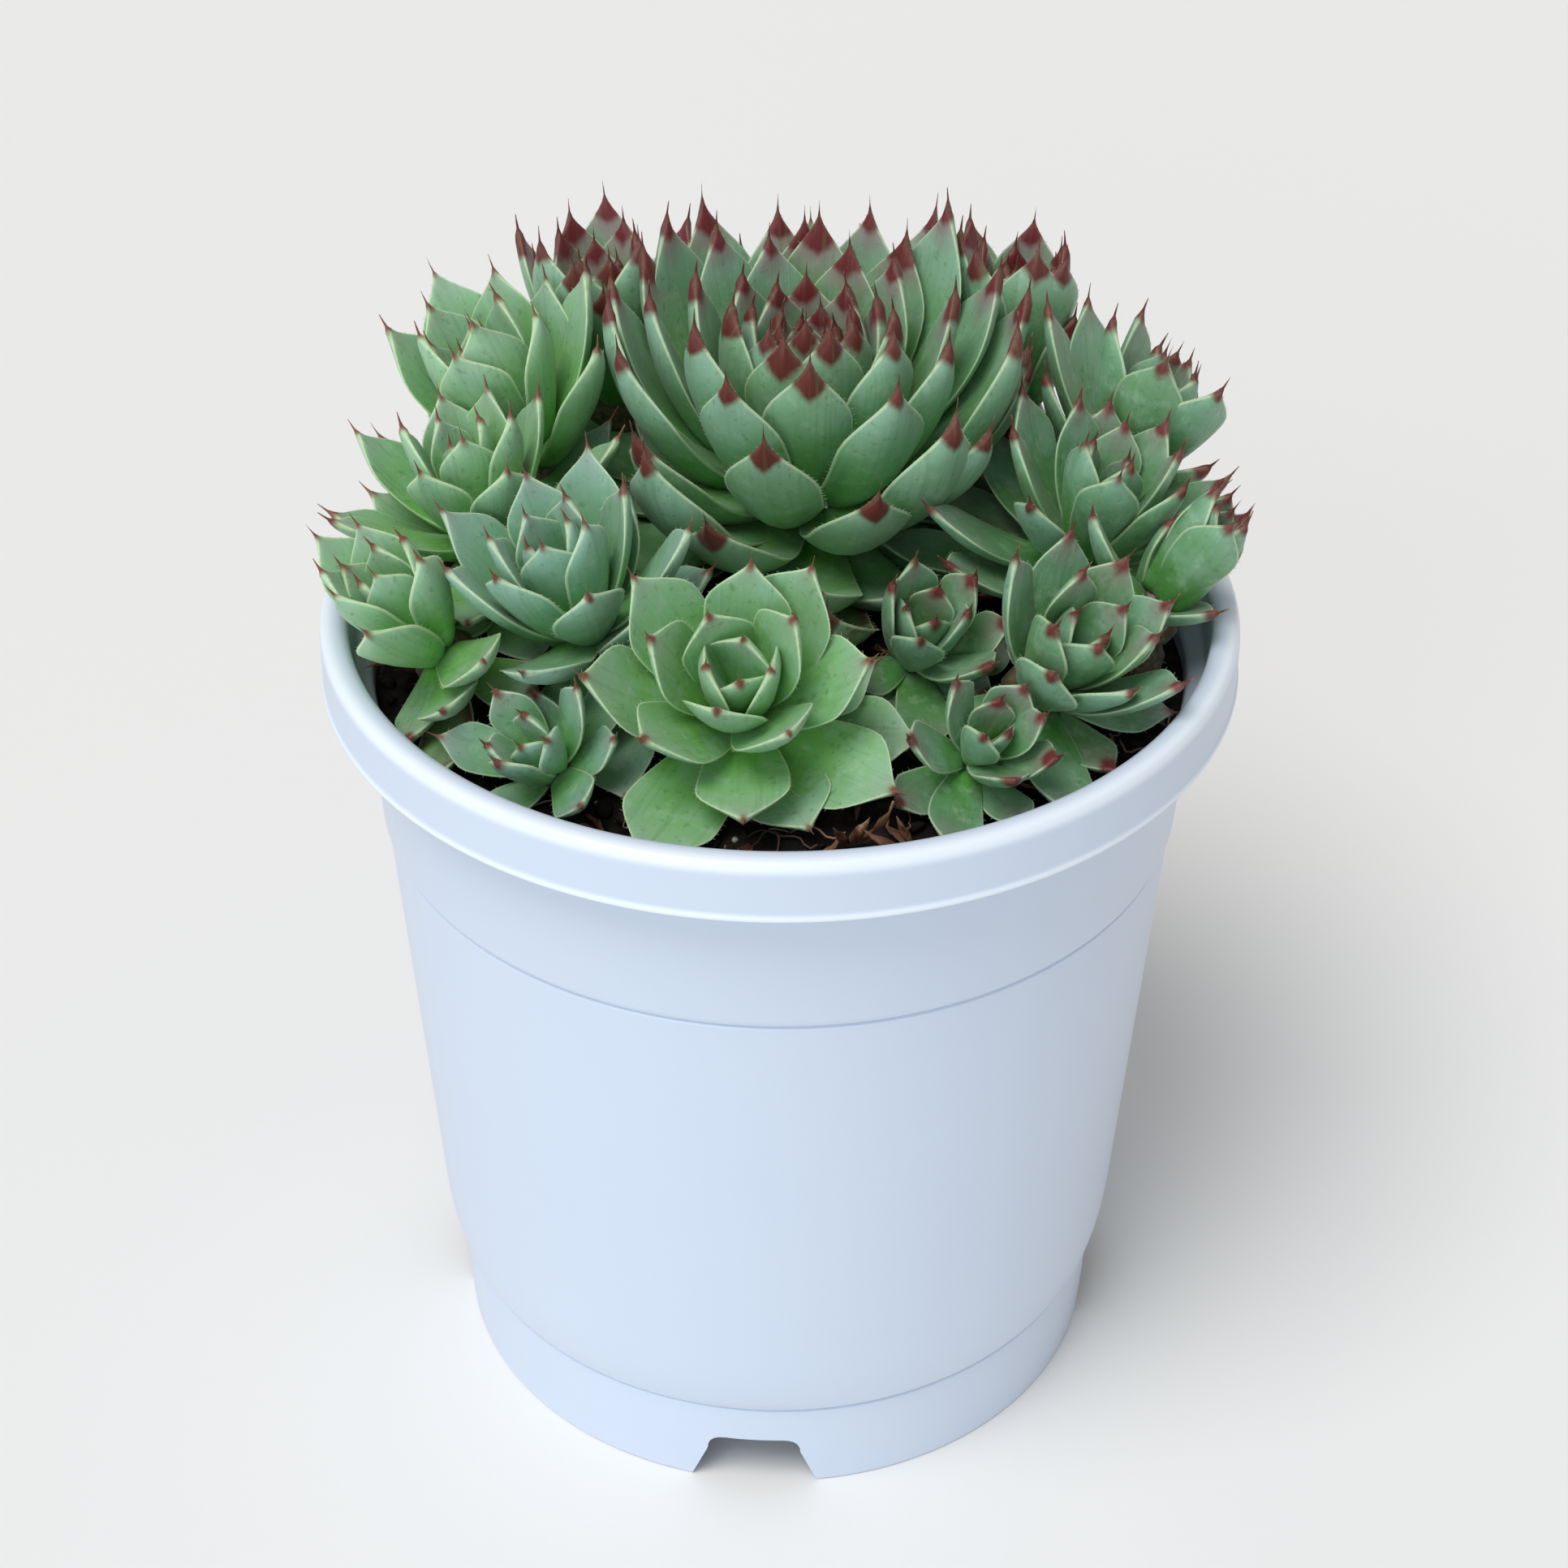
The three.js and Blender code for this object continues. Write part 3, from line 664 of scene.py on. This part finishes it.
# Shades that all the leaves share
OLIVE = (118, 158, 86)
PALE = (154, 190, 168)
BLOOM = (176, 204, 178)
SPOT = (60, 108, 62)
AGED = (136, 128, 78)
SCORCHED = (112, 66, 44)
FLUSH = (150, 96, 112)
INNER_TIP = (132, 48, 60)
DRY_POINT = (170, 128, 110)
STREAK = (92, 138, 90)
WOOD_DARK = (84, 72, 50)
WOOD_LIGHT = (118, 104, 76)


def leaf_material(name, root, middle, upper, tip, tip_size, blush, margin, spine):
    """Waxy leaf that reads its place on the leaf, in millimetres, from the mesh."""
    kit = Nodes(name)
    along, side, edge = kit.attribute("leaf_place")
    to_tip, chance, age = kit.attribute("leaf_traits")
    face, signed_side, _ = kit.attribute("leaf_side")
    patches = kit.noise(160, 4)
    fine = kit.noise(900, 3)
    inner = kit.steps(face, -0.5, 0.5)

    base = kit.ramp(along, [
        (0.2, colour(*root)), (0.55, colour(*middle)), (0.85, colour(*upper)),
    ])

    # Differences from leaf to leaf, pale patches and bloom, dark spots, then age
    olive = kit.math("MULTIPLY", kit.steps(chance, 0.4, 1), 0.25)
    base = kit.mix(olive, base, colour(*OLIVE))
    pale = kit.steps(patches, 0.42, 0.68, 0, 0.4)
    base = kit.mix(pale, base, colour(*PALE))
    bloom = kit.steps(kit.noise(420, 5, 0.65), 0.5, 0.68, 0, 0.32)
    base = kit.mix(bloom, base, colour(*BLOOM))
    spots = kit.steps(fine, 0.58, 0.72, 0, 0.35)
    base = kit.mix(spots, base, colour(*SPOT))
    aged = kit.math("MULTIPLY", kit.steps(age, 0.82, 1), kit.steps(patches, 0.4, 0.65, 0.1, 0.6))
    base = kit.mix(aged, base, colour(*AGED))
    scorched = kit.math("MULTIPLY", kit.steps(age, 0.86, 0.97), kit.steps(edge, 0.4, 2.4, 0.9, 0))
    scorched = kit.math("MULTIPLY", scorched, kit.steps(patches, 0.44, 0.56))
    base = kit.mix(scorched, base, colour(*SCORCHED))

    # Coloured point: a patch that reaches furthest down at the rib, paler on the inner face
    reach = kit.math("ADD", to_tip, kit.math("MULTIPLY", side, 0.7))
    reach = kit.math("ADD", reach, kit.math("MULTIPLY", patches, 4))
    size = kit.math("MULTIPLY", kit.math("ADD", kit.math("MULTIPLY", chance, 0.5), 0.7), tip_size)
    size = kit.math("MULTIPLY", kit.steps(age, 0, 0.35, 0.72, 1), size)
    gap = kit.math("SUBTRACT", kit.math("ADD", size, 2.2), reach)
    pointed = kit.steps(gap, -1, 0.8)
    flush = kit.math("MULTIPLY", kit.steps(gap, -6, 0.5), kit.math("MULTIPLY", inner, blush))
    base = kit.mix(flush, base, colour(*FLUSH))
    tip_shade = kit.mix(kit.math("MULTIPLY", inner, 0.3), colour(*tip), colour(*INNER_TIP))
    base = kit.mix(kit.math("MULTIPLY", pointed, 0.95), base, tip_shade)

    # Pale see-through margin, reddish beside the point, and a brown spine
    rim = kit.steps(edge, 0.1, 0.3, 0.9, 0)
    rim_shade = kit.mix(kit.math("MULTIPLY", pointed, 0.9), colour(*margin), colour(*tip))
    base = kit.mix(kit.math("MULTIPLY", rim, 0.85), base, rim_shade)
    base = kit.mix(kit.steps(to_tip, 0.4, 1.4, 0.85, 0), base, colour(*spine))
    base = kit.mix(kit.steps(to_tip, -1.2, -0.5, 0.5, 0), base, colour(*DRY_POINT))

    # Woody stem, told from a leaf by its great age
    wood = kit.mix(kit.steps(fine, 0.4, 0.6), colour(*WOOD_DARK), colour(*WOOD_LIGHT))
    base = kit.mix(kit.steps(age, 1.2, 1.8), base, wood)

    # Faint streaks that run along the leaf
    streaks = kit.node("ShaderNodeCombineXYZ")
    kit.link(kit.math("MULTIPLY", along, 2), streaks.inputs[0])
    kit.link(kit.math("MULTIPLY", signed_side, 1.4), streaks.inputs[1])
    kit.link(kit.math("MULTIPLY", chance, 40), streaks.inputs[2])
    ribs = kit.noise(1.0, 2, vector=streaks.outputs[0])
    base = kit.mix(kit.steps(ribs, 0.5, 0.75, 0, 0.25), base, colour(*STREAK))
    normal = kit.bump(ribs, 0.25, 0.0004)
    normal = kit.bump(kit.noise(2600, 2), 0.2, 0.0001, normal)
    kit.set(
        Base_Color=base, Roughness=kit.steps(patches, 0.3, 0.7, 0.4, 0.55), Normal=normal,
        Subsurface_Weight=0.1, Subsurface_Scale=0.0012,
        Specular_IOR_Level=0.45, Sheen_Weight=0.1, Sheen_Roughness=0.4,
    )
    kit.shader.inputs["Subsurface Radius"].default_value = (0.5, 1, 0.25)
    return kit.material


# Painted highlight on the pot: heights and radii between which the painted lightness sets in
LIP_PAINTED_HIGHLIGHT = {"height": (125.5, 126.8), "radius": (62.2, 63.8)}
BEAD_PAINTED_HIGHLIGHT = {"top": (119.8, 119.3), "bottom": (118.4, 118.7), "radius": (64.2, 64.7)}
PAINTED_HIGHLIGHT_SHARE = 0.75


def pot_material():
    kit = Nodes("pot_moulded_plastic")
    broad = kit.noise(18, 3)
    grain = kit.noise(1400, 3)
    base = kit.ramp(broad, [(0, colour(206, 217, 236)), (1, colour(210, 221, 237))])

    # Painted highlight: the colour is lighter along the lip and the band's lower bead
    across, depth, height = kit.split(kit.place())
    squares = kit.math("ADD", kit.math("POWER", across, 2.0), kit.math("POWER", depth, 2.0))
    radius = kit.math("POWER", squares, 0.5)

    def within(value, limits):
        return kit.steps(value, limits[0] * MM, limits[1] * MM)

    lip = kit.math("MULTIPLY", within(height, LIP_PAINTED_HIGHLIGHT["height"]),
                   within(radius, LIP_PAINTED_HIGHLIGHT["radius"]))
    bead = kit.math("MULTIPLY", within(height, BEAD_PAINTED_HIGHLIGHT["top"]),
                    within(radius, BEAD_PAINTED_HIGHLIGHT["radius"]))
    bead = kit.math("MULTIPLY", bead, within(height, BEAD_PAINTED_HIGHLIGHT["bottom"]))
    # The painted highlight mixes a pale colour into the pot's colour in these two bands
    light = kit.math("MULTIPLY", kit.math("MAXIMUM", lip, bead), PAINTED_HIGHLIGHT_SHARE)
    base = kit.mix(light, base, colour(238, 246, 254))
    kit.set(
        Base_Color=base, Roughness=0.32,
        Normal=kit.bump(grain, 0.06, 0.00008), Specular_IOR_Level=0.5,
    )
    return kit.material


def soil_material():
    kit = Nodes("potting_soil_crumbs")
    clods = kit.noise(320, 5, 0.6)
    fine = kit.noise(1500, 4, 0.65)
    base = kit.ramp(clods, [
        (0.3, colour(8, 7, 6)), (0.52, colour(24, 20, 17)), (0.72, colour(52, 42, 35)),
    ])
    base = kit.mix(kit.steps(fine, 0.62, 0.76, 0, 0.4), base, colour(92, 74, 58))
    normal = kit.bump(clods, 0.7, 0.0012)
    normal = kit.bump(fine, 0.6, 0.0004, normal)
    kit.set(Base_Color=base, Roughness=kit.steps(fine, 0.3, 0.7, 0.8, 0.98), Normal=normal,
            Specular_IOR_Level=0.25)
    return kit.material


def withered_material():
    kit = Nodes("withered_leaf")
    _, chance, _ = kit.attribute("leaf_traits")
    patches = kit.noise(300, 4)
    base = kit.ramp(patches, [
        (0.3, colour(62, 42, 32)), (0.5, colour(124, 86, 62)), (0.7, colour(176, 142, 112)),
    ])
    base = kit.mix(kit.steps(chance, 0.2, 1, 0, 0.6), base, colour(96, 52, 42))
    kit.set(Base_Color=base, Roughness=kit.steps(patches, 0.3, 0.7, 0.6, 0.85),
            Normal=kit.bump(kit.noise(1100, 4), 0.5, 0.0004), Specular_IOR_Level=0.3)
    return kit.material


def fibre_material():
    kit = Nodes("root_fibre")
    _, chance, _ = kit.attribute("leaf_traits")
    base = kit.mix(chance, colour(74, 46, 36), colour(178, 142, 116))
    kit.set(Base_Color=base, Roughness=kit.steps(kit.noise(700), 0.3, 0.7, 0.7, 0.9))
    return kit.material


def grit_material():
    kit = Nodes("pale_grit")
    grains = kit.noise(900, 3)
    base = kit.ramp(grains, [(0.35, colour(120, 112, 100)), (0.65, colour(206, 200, 188))])
    kit.set(Base_Color=base, Roughness=0.85, Normal=kit.bump(grains, 0.4, 0.0003))
    return kit.material


def floor_material():
    kit = Nodes("pale_floor")
    kit.set(Base_Color=colour(236, 235.5, 234), Roughness=0.9, Specular_IOR_Level=0.1)
    return kit.material


# Pot


def rounded(profile, steps=4):
    """The outline with each corner turned into a small curve."""
    made = [profile[0][:2]]
    for before, corner, after in zip(profile, profile[1:], profile[2:]):
        here = np.array(corner[:2], float)
        arms = []
        for other in (before, after):
            arm = np.array(other[:2], float) - here
            length = np.linalg.norm(arm)
            arms.append(arm / length * min(corner[2], 0.45 * length))
        for step in range(steps + 1):
            t = step / steps
            made.append(tuple(here + arms[0] * (1 - t) ** 2 + arms[1] * t ** 2))
    made.append(profile[-1][:2])
    return made


def turned(profile, sides):
    """A closed turned shell whose outline starts and ends on the axis."""
    angles = np.arange(sides) * 2 * math.pi / sides
    inner = np.array(profile[1:-1])
    rings = np.stack([
        inner[:, :1] * np.cos(angles), inner[:, :1] * np.sin(angles),
        inner[:, 1:] + 0 * angles,
    ], axis=-1)
    ends = np.array([[0, 0, profile[0][1]], [0, 0, profile[-1][1]]])
    faces = [face[::-1] for face in loop_faces(len(inner), sides)]
    return np.concatenate([rings.reshape(-1, 3), ends]), faces


def notch_cutter(angle):
    """A block with a rounded top that is taken out of the foot."""
    half_bottom, half_top = NOTCH["bottom"] / 2, NOTCH["top"] / 2
    corner, height = NOTCH["corner"], NOTCH["height"]
    outline = [(-half_bottom, -1), (half_bottom, -1)]
    for t in np.linspace(0, 1, 6):
        outline.append((half_top - corner * t ** 2, height - corner * (1 - t) ** 2))
    outline += [(-x, z) for x, z in outline[:1:-1]]
    count = len(outline)
    points = []
    for y in (-FOOT_RADIUS - NOTCH_DEPTH, -FOOT_RADIUS + NOTCH_DEPTH):
        for x, z in outline:
            points.append((x * math.cos(angle) - y * math.sin(angle),
                           x * math.sin(angle) + y * math.cos(angle), z))
    faces = [((i + 1) % count, i, i + count, (i + 1) % count + count) for i in range(count)]
    faces += [tuple(range(count)), tuple(range(count, 2 * count))[::-1]]
    return points, faces


def carve(target, cutters):
    """Takes the cutters out of the target and removes them."""
    for cutter in cutters:
        modifier = target.modifiers.new("cut", "BOOLEAN")
        modifier.operation = "DIFFERENCE"
        modifier.solver = "EXACT"
        modifier.object = cutter
    bpy.context.view_layer.update()
    done = target.evaluated_get(bpy.context.evaluated_depsgraph_get())
    mesh = bpy.data.meshes.new_from_object(done)
    target.modifiers.clear()
    target.data = mesh
    for cutter in cutters:
        bpy.data.objects.remove(cutter)


def make_pot(material):
    """The turned pot with its notches and drain holes cut out."""
    points, faces = turned(rounded(POT_PROFILE), POT_SIDES)
    pot = make_object("pot_turned", points, faces, material)
    cutters = []
    for i in range(NOTCH["count"]):
        angle = (NOTCH["first"] + 90 + i * 360 / NOTCH["count"]) * DEG
        points, faces = notch_cutter(angle)
        cutters.append(make_object("cutter", points, faces, material))
    for i in range(DRAIN["count"]):
        angle = (i + 0.5) * 2 * math.pi / DRAIN["count"]
        x, y = DRAIN["ring"] * math.cos(angle), DRAIN["ring"] * math.sin(angle)
        path = [(x, y, FLOOR_TOP - 2.6), (x, y, FLOOR_TOP + 1)]
        points, faces = tube(path, [DRAIN["radius"]] * 2, DRAIN["sides"])
        cutters.append(make_object("cutter", points, faces, material))
    carve(pot, cutters)
    pot.data.shade_smooth()
    pot.data.set_sharp_from_angle(angle=SHARP_ANGLE * DEG)
    return pot


# Soil


WAVES = 6


def wavy(x, y, seed, scale):
    """Smooth uneven heights from a few crossed waves, about -1 to 1."""
    total = 0 * x
    for i in range(WAVES):
        angle = 2 * math.pi * random(seed, i, 1)
        pitch = scale * (0.6 + 0.9 * random(seed, i, 2))
        shift = 6.3 * random(seed, i, 3)
        total = total + np.sin((x * math.cos(angle) + y * math.sin(angle)) * pitch + shift)
    return total / 3


def make_soil(material):
    """The plug of soil, its top uneven and strewn with crumbs."""
    radius = SOIL_RADIUS * (np.arange(SOIL_RINGS, 0, -1) / SOIL_RINGS)[:, None] ** 0.8
    angles = np.arange(SOIL_SIDES) * 2 * math.pi / SOIL_SIDES
    x, y = radius * np.cos(angles), radius * np.sin(angles)
    top = soil_height(radius)
    for height, seed, pitch in SOIL_WAVES:
        top = top + height * wavy(x, y, seed, pitch)
    wall = []
    for wall_radius, height in SOIL_WALL[::-1]:
        wall.append(np.stack([wall_radius * np.cos(angles), wall_radius * np.sin(angles),
                              height + 0 * angles], axis=-1))
    surface = np.stack([x, y, top], axis=-1)
    rows = np.concatenate([np.array(wall), surface])
    ends = np.array([[0, 0, SOIL_WALL[-1][1]], [0, 0, SOIL_MID_HEIGHT]])
    points = np.concatenate([rows.reshape(-1, 3), ends])
    faces = [face[::-1] for face in loop_faces(len(rows), SOIL_SIDES)]
    builder = Builder()
    builder.add(points, faces)
    add_crumbs(builder)
    return builder.build("soil_top", material)


def lump():
    """Points and faces of one ball with 42 points."""
    mesh = bmesh.new()
    bmesh.ops.create_icosphere(mesh, subdivisions=2, radius=1)
    points = np.array([vertex.co for vertex in mesh.verts])
    faces = [tuple(vertex.index for vertex in face.verts) for face in mesh.faces]
    mesh.free()
    return points, faces


def add_crumbs(builder):
    """Loose crumbs of peat and bark on the soil."""
    ball, faces = lump()
    draw = np.random.default_rng(11)
    for _ in range(CRUMBS):
        radius = (SOIL_RADIUS - 1.5) * math.sqrt(draw.random())
        angle = 2 * math.pi * draw.random()
        size = CRUMB_SIZE["least"] + CRUMB_SIZE["more"] * draw.random() ** 3
        stretch = np.array([1 + 1.2 * draw.random() ** 2, 0.8 + 0.3 * draw.random(),
                            0.55 + 0.35 * draw.random()])
        dents = np.sin(ball @ draw.normal(size=(3, 3)) * 3).sum(axis=1, keepdims=True)
        rough = 1 + 0.22 * dents / 2
        turn = Matrix.Rotation(2 * math.pi * draw.random(), 3, "Z")
        tip = Matrix.Rotation(0.5 * draw.normal(), 3, "X")
        shaped = (ball * rough * stretch * size) @ np.array(turn @ tip).T
        x, y = radius * math.cos(angle), radius * math.sin(angle)
        z = float(soil_height(radius)) + 0.25 * size + 0.3
        builder.add(shaped + (x, y, z), faces)


# Litter on the soil: withered leaves, root fibres and pale grit

TUFTS = 90
TUFT_LEAVES = 8
LOOSE_LEAVES = 180
DRY_STATIONS = 10
DRY_COLUMNS = 6
DRY_FACES = loop_faces(DRY_STATIONS, 2 * (DRY_COLUMNS + 1))
DRY_HALF = 0.12

# Withered leaves and fibres by least and how much more: length, rise at the root and curl in
# radians, then breadth by length and how far the margins roll in
TUFT_LEAF = [(4, 6), (0.35, 0.9), (-0.4, 2)]
LOOSE_LEAF = [(3, 5), (0.1, 0.3), (-0.84, 2.4)]
DRY_BREADTH = (0.16, 0.14)
DRY_FOLD = (0.9, 0.9)
FIBRE_LENGTH = (4, 9)
FIBRE_ARCH = (0.5, 1.2)
TUFT_LIFT = (0, 0, 0.3)
LOOSE_LIFT = (0, 0, 0.7)
WALL_GAP = 0.8
FIBRES = 170
FIBRE_POINTS = 12
FIBRE_SIDES = 6
FIBRE_RADII = (0.17, 0.07)
FIBRE_LIFT = 0.6
GRIT_GRAINS = 60
GRIT_LIFT = (0, 0, 0.5)


def pick(draw, least, more):
    return least + more * draw.random()


def on_soil(draw):
    """A random place on the soil, more often near its edge, where it shows."""
    radius = (SOIL_RADIUS - 4) * draw.random() ** 0.35
    angle = 2 * math.pi * draw.random()
    height = float(soil_height(radius))
    return np.array([radius * math.cos(angle), radius * math.sin(angle), height])


def withered_leaf(draw, length, pitch, curl):
    """Points of a curled leaf with rolled margins, starting at zero and rising by the pitch."""
    width = length * pick(draw, *DRY_BREADTH)
    fold = pick(draw, *DRY_FOLD)
    share = np.linspace(0, 1, DRY_STATIONS)
    angle = pitch + curl * share
    step = length / (DRY_STATIONS - 1)
    out = np.cumsum(np.cos(angle)) * step
    up = np.cumsum(np.sin(angle)) * step
    half = width / 2 * (0.3 + 0.7 * np.sin(math.pi * share ** 0.8)) * (1 - share ** 6) + 0.05
    columns = np.linspace(-1, 1, DRY_COLUMNS + 1)
    across = np.concatenate([columns, columns[::-1]])
    face = np.concatenate([np.ones(DRY_COLUMNS + 1), -np.ones(DRY_COLUMNS + 1)])
    crumple = 0.3 * np.sin(share[:, None] * 13 + across * 3 + 6 * draw.random())
    aside = half[:, None] * np.sin(across * fold) / fold
    lift = half[:, None] * (1 - np.cos(across * fold)) / fold + crumple * half[:, None]
    lift = lift + face * DRY_HALF * (1 - 0.8 * across ** 8)
    points = np.stack([
        out[:, None] - np.sin(angle)[:, None] * lift,
        aside,
        up[:, None] + np.cos(angle)[:, None] * lift,
    ], axis=-1).reshape(-1, 3)
    ends = np.array([[out[0] - 0.2, 0, up[0]], [out[-1] + 0.3, 0, up[-1]]])
    return np.concatenate([points, ends])


def turned_about(points, heading, roll):
    """The points rolled about their length and turned to a heading."""
    turn = Matrix.Rotation(heading, 3, "Z") @ Matrix.Rotation(roll, 3, "X")
    return points @ np.array(turn).T


def make_withered(material, placed):
    """Tufts of dried leaves that stand in the gaps of the clump, and single ones on the soil."""
    builder = Builder()
    draw = np.random.default_rng(5)

    def try_leaf(points, chance):
        radius = np.hypot(points[:, 0], points[:, 1])
        if radius.max() > SOIL_RADIUS - WALL_GAP or not placed.is_clear(None, points):
            return
        traits = np.zeros_like(points)
        traits[:, 1] = chance
        builder.add(points, DRY_FACES, None, traits)

    for _ in range(TUFTS):
        foot, chance = on_soil(draw) + TUFT_LIFT, draw.random()
        for i in range(TUFT_LEAVES):
            shape = withered_leaf(draw, *[pick(draw, *span) for span in TUFT_LEAF])
            heading = 2 * math.pi * (i + draw.random()) / TUFT_LEAVES
            try_leaf(turned_about(shape, heading, 0.4 * draw.normal()) + foot, chance)
    for _ in range(LOOSE_LEAVES):
        shape = withered_leaf(draw, *[pick(draw, *span) for span in LOOSE_LEAF])
        shape = turned_about(shape, 2 * math.pi * draw.random(), 0.5 * draw.normal())
        try_leaf(shape + on_soil(draw) + LOOSE_LIFT, draw.random())
    return builder.build("withered_leaves", material)


def make_fibres(material):
    """Curly root fibres on the soil."""
    builder = Builder()
    draw = np.random.default_rng(21)
    for _ in range(FIBRES):
        length = pick(draw, *FIBRE_LENGTH)
        heading = (2 * math.pi * draw.random()
                   + np.cumsum(draw.normal(size=FIBRE_POINTS) * 0.55))
        step = length / (FIBRE_POINTS - 1)
        path = np.stack([np.cumsum(np.cos(heading)), np.cumsum(np.sin(heading)),
                         0 * heading], axis=1) * step
        path = path + on_soil(draw)
        radius = np.hypot(path[:, 0], path[:, 1])
        path[:, :2] *= np.minimum(1, (SOIL_RADIUS - 1) / radius)[:, None]
        arch = pick(draw, *FIBRE_ARCH)
        wave = np.abs(np.sin(np.arange(FIBRE_POINTS) * 0.6 + heading[0]))
        path[:, 2] = soil_height(radius) + FIBRE_LIFT + arch * wave
        radii = np.linspace(*FIBRE_RADII, FIBRE_POINTS) * (0.7 + 0.6 * draw.random())
        points, faces = tube(path, radii, FIBRE_SIDES)
        traits = np.zeros_like(points)
        traits[:, 1] = draw.random()
        builder.add(points, faces, None, traits)
    return builder.build("root_fibres", material)


def make_grit(material):
    """Small pale grains on the soil."""
    builder = Builder()
    ball, faces = lump()
    draw = np.random.default_rng(8)
    for _ in range(GRIT_GRAINS):
        size = 0.25 + 0.45 * draw.random() ** 2
        dents = np.sin(ball @ draw.normal(size=(3, 3)) * 4).sum(axis=1, keepdims=True)
        rough = 1 + 0.2 * dents / 2
        builder.add(ball * rough * size + on_soil(draw) + GRIT_LIFT, faces)
    return builder.build("soil_grit", material)


# Camera, floor and light

LOOK_AT = Vector((0, 0, 0.0944))
DISTANCE = 0.463
ELEVATION = 35.21
ROLL = 0.28
LENS = 72.2
SHIFT_X = 0.0031
FLOOR_HALF = 4000
WORLD_STRENGTH = 0.41

# Lamps: the way each shines, how wide it looks in degrees, its power and its colour
LAMPS = [
    ("high_lamp", (0.28, 0.36, -0.9), 32, 1.8, (1, 0.99, 0.98)),
    ("low_lamp", (0.4, 0.88, -0.26), 45, 0.95, (0.76, 0.9, 1)),
]


def make_camera():
    """The fitted camera, which looks down at the front of the pot."""
    camera = bpy.data.objects.new("camera", bpy.data.cameras.new("camera"))
    bpy.context.scene.collection.objects.link(camera)
    rise = ELEVATION * DEG
    away = Vector((0, -math.cos(rise), math.sin(rise)))
    facing = (-away).to_track_quat("-Z", "Y").to_matrix().to_4x4()
    camera.matrix_world = (Matrix.Translation(LOOK_AT + away * DISTANCE) @ facing
                           @ Matrix.Rotation(ROLL * DEG, 4, "Z"))
    camera.data.lens = LENS
    camera.data.sensor_width = 36
    camera.data.shift_x = SHIFT_X
    camera.data.clip_start = 0.02
    camera.data.clip_end = 20
    bpy.context.scene.camera = camera


def make_studio():
    """A wide pale floor, even light from all round and two soft lamps from the front left."""
    corners = [(FLOOR_HALF * x, FLOOR_HALF * y, 0) for x, y in ((-1, -1), (1, -1), (1, 1), (-1, 1))]
    floor = make_object("floor", corners, [(0, 1, 2, 3)], floor_material())
    world = bpy.data.worlds.new("studio")
    world.use_nodes = True
    background = world.node_tree.nodes["Background"]
    background.inputs["Color"].default_value = (1, 1, 1, 1)
    background.inputs["Strength"].default_value = WORLD_STRENGTH
    bpy.context.scene.world = world
    for name, way, width, power, shade in LAMPS:
        lamp = bpy.data.objects.new(name, bpy.data.lights.new(name, "SUN"))
        lamp.data.energy = power
        lamp.data.angle = width * DEG
        lamp.data.color = shade
        lamp.rotation_euler = Vector(way).to_track_quat("-Z", "Y").to_euler()
        bpy.context.scene.collection.objects.link(lamp)
    bpy.context.scene.view_settings.view_transform = "Standard"


# Assembly


def finish_piece(piece, node):
    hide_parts(node)
    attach(piece, "root")


make_camera()
finish_piece(make_pot(pot_material()), "pot")
finish_piece(make_soil(soil_material()), "soil")

rows = ROSETTE_TABLE.strip().splitlines()
plants = [Rosette(number, row) for number, row in enumerate(rows)]
leaves, placed = grow_clump(plants)
leaf_materials = {}
for tone, look in LEAF_TONES.items():
    leaf_materials[tone] = leaf_material("leaf_" + tone, **look)
for plant in plants:
    builder = Builder()
    add_stem(builder, plant)
    for leaf in leaves:
        if leaf.plant is plant:
            add_leaf(builder, leaf)
    rosette = builder.build("leaves_" + plant.name, leaf_materials[plant.tone])
    finish_piece(rosette, "rosette_" + plant.name)

for piece in (make_withered(withered_material(), placed), make_fibres(fibre_material()),
              make_grit(grit_material())):
    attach(piece, "root")

make_studio()
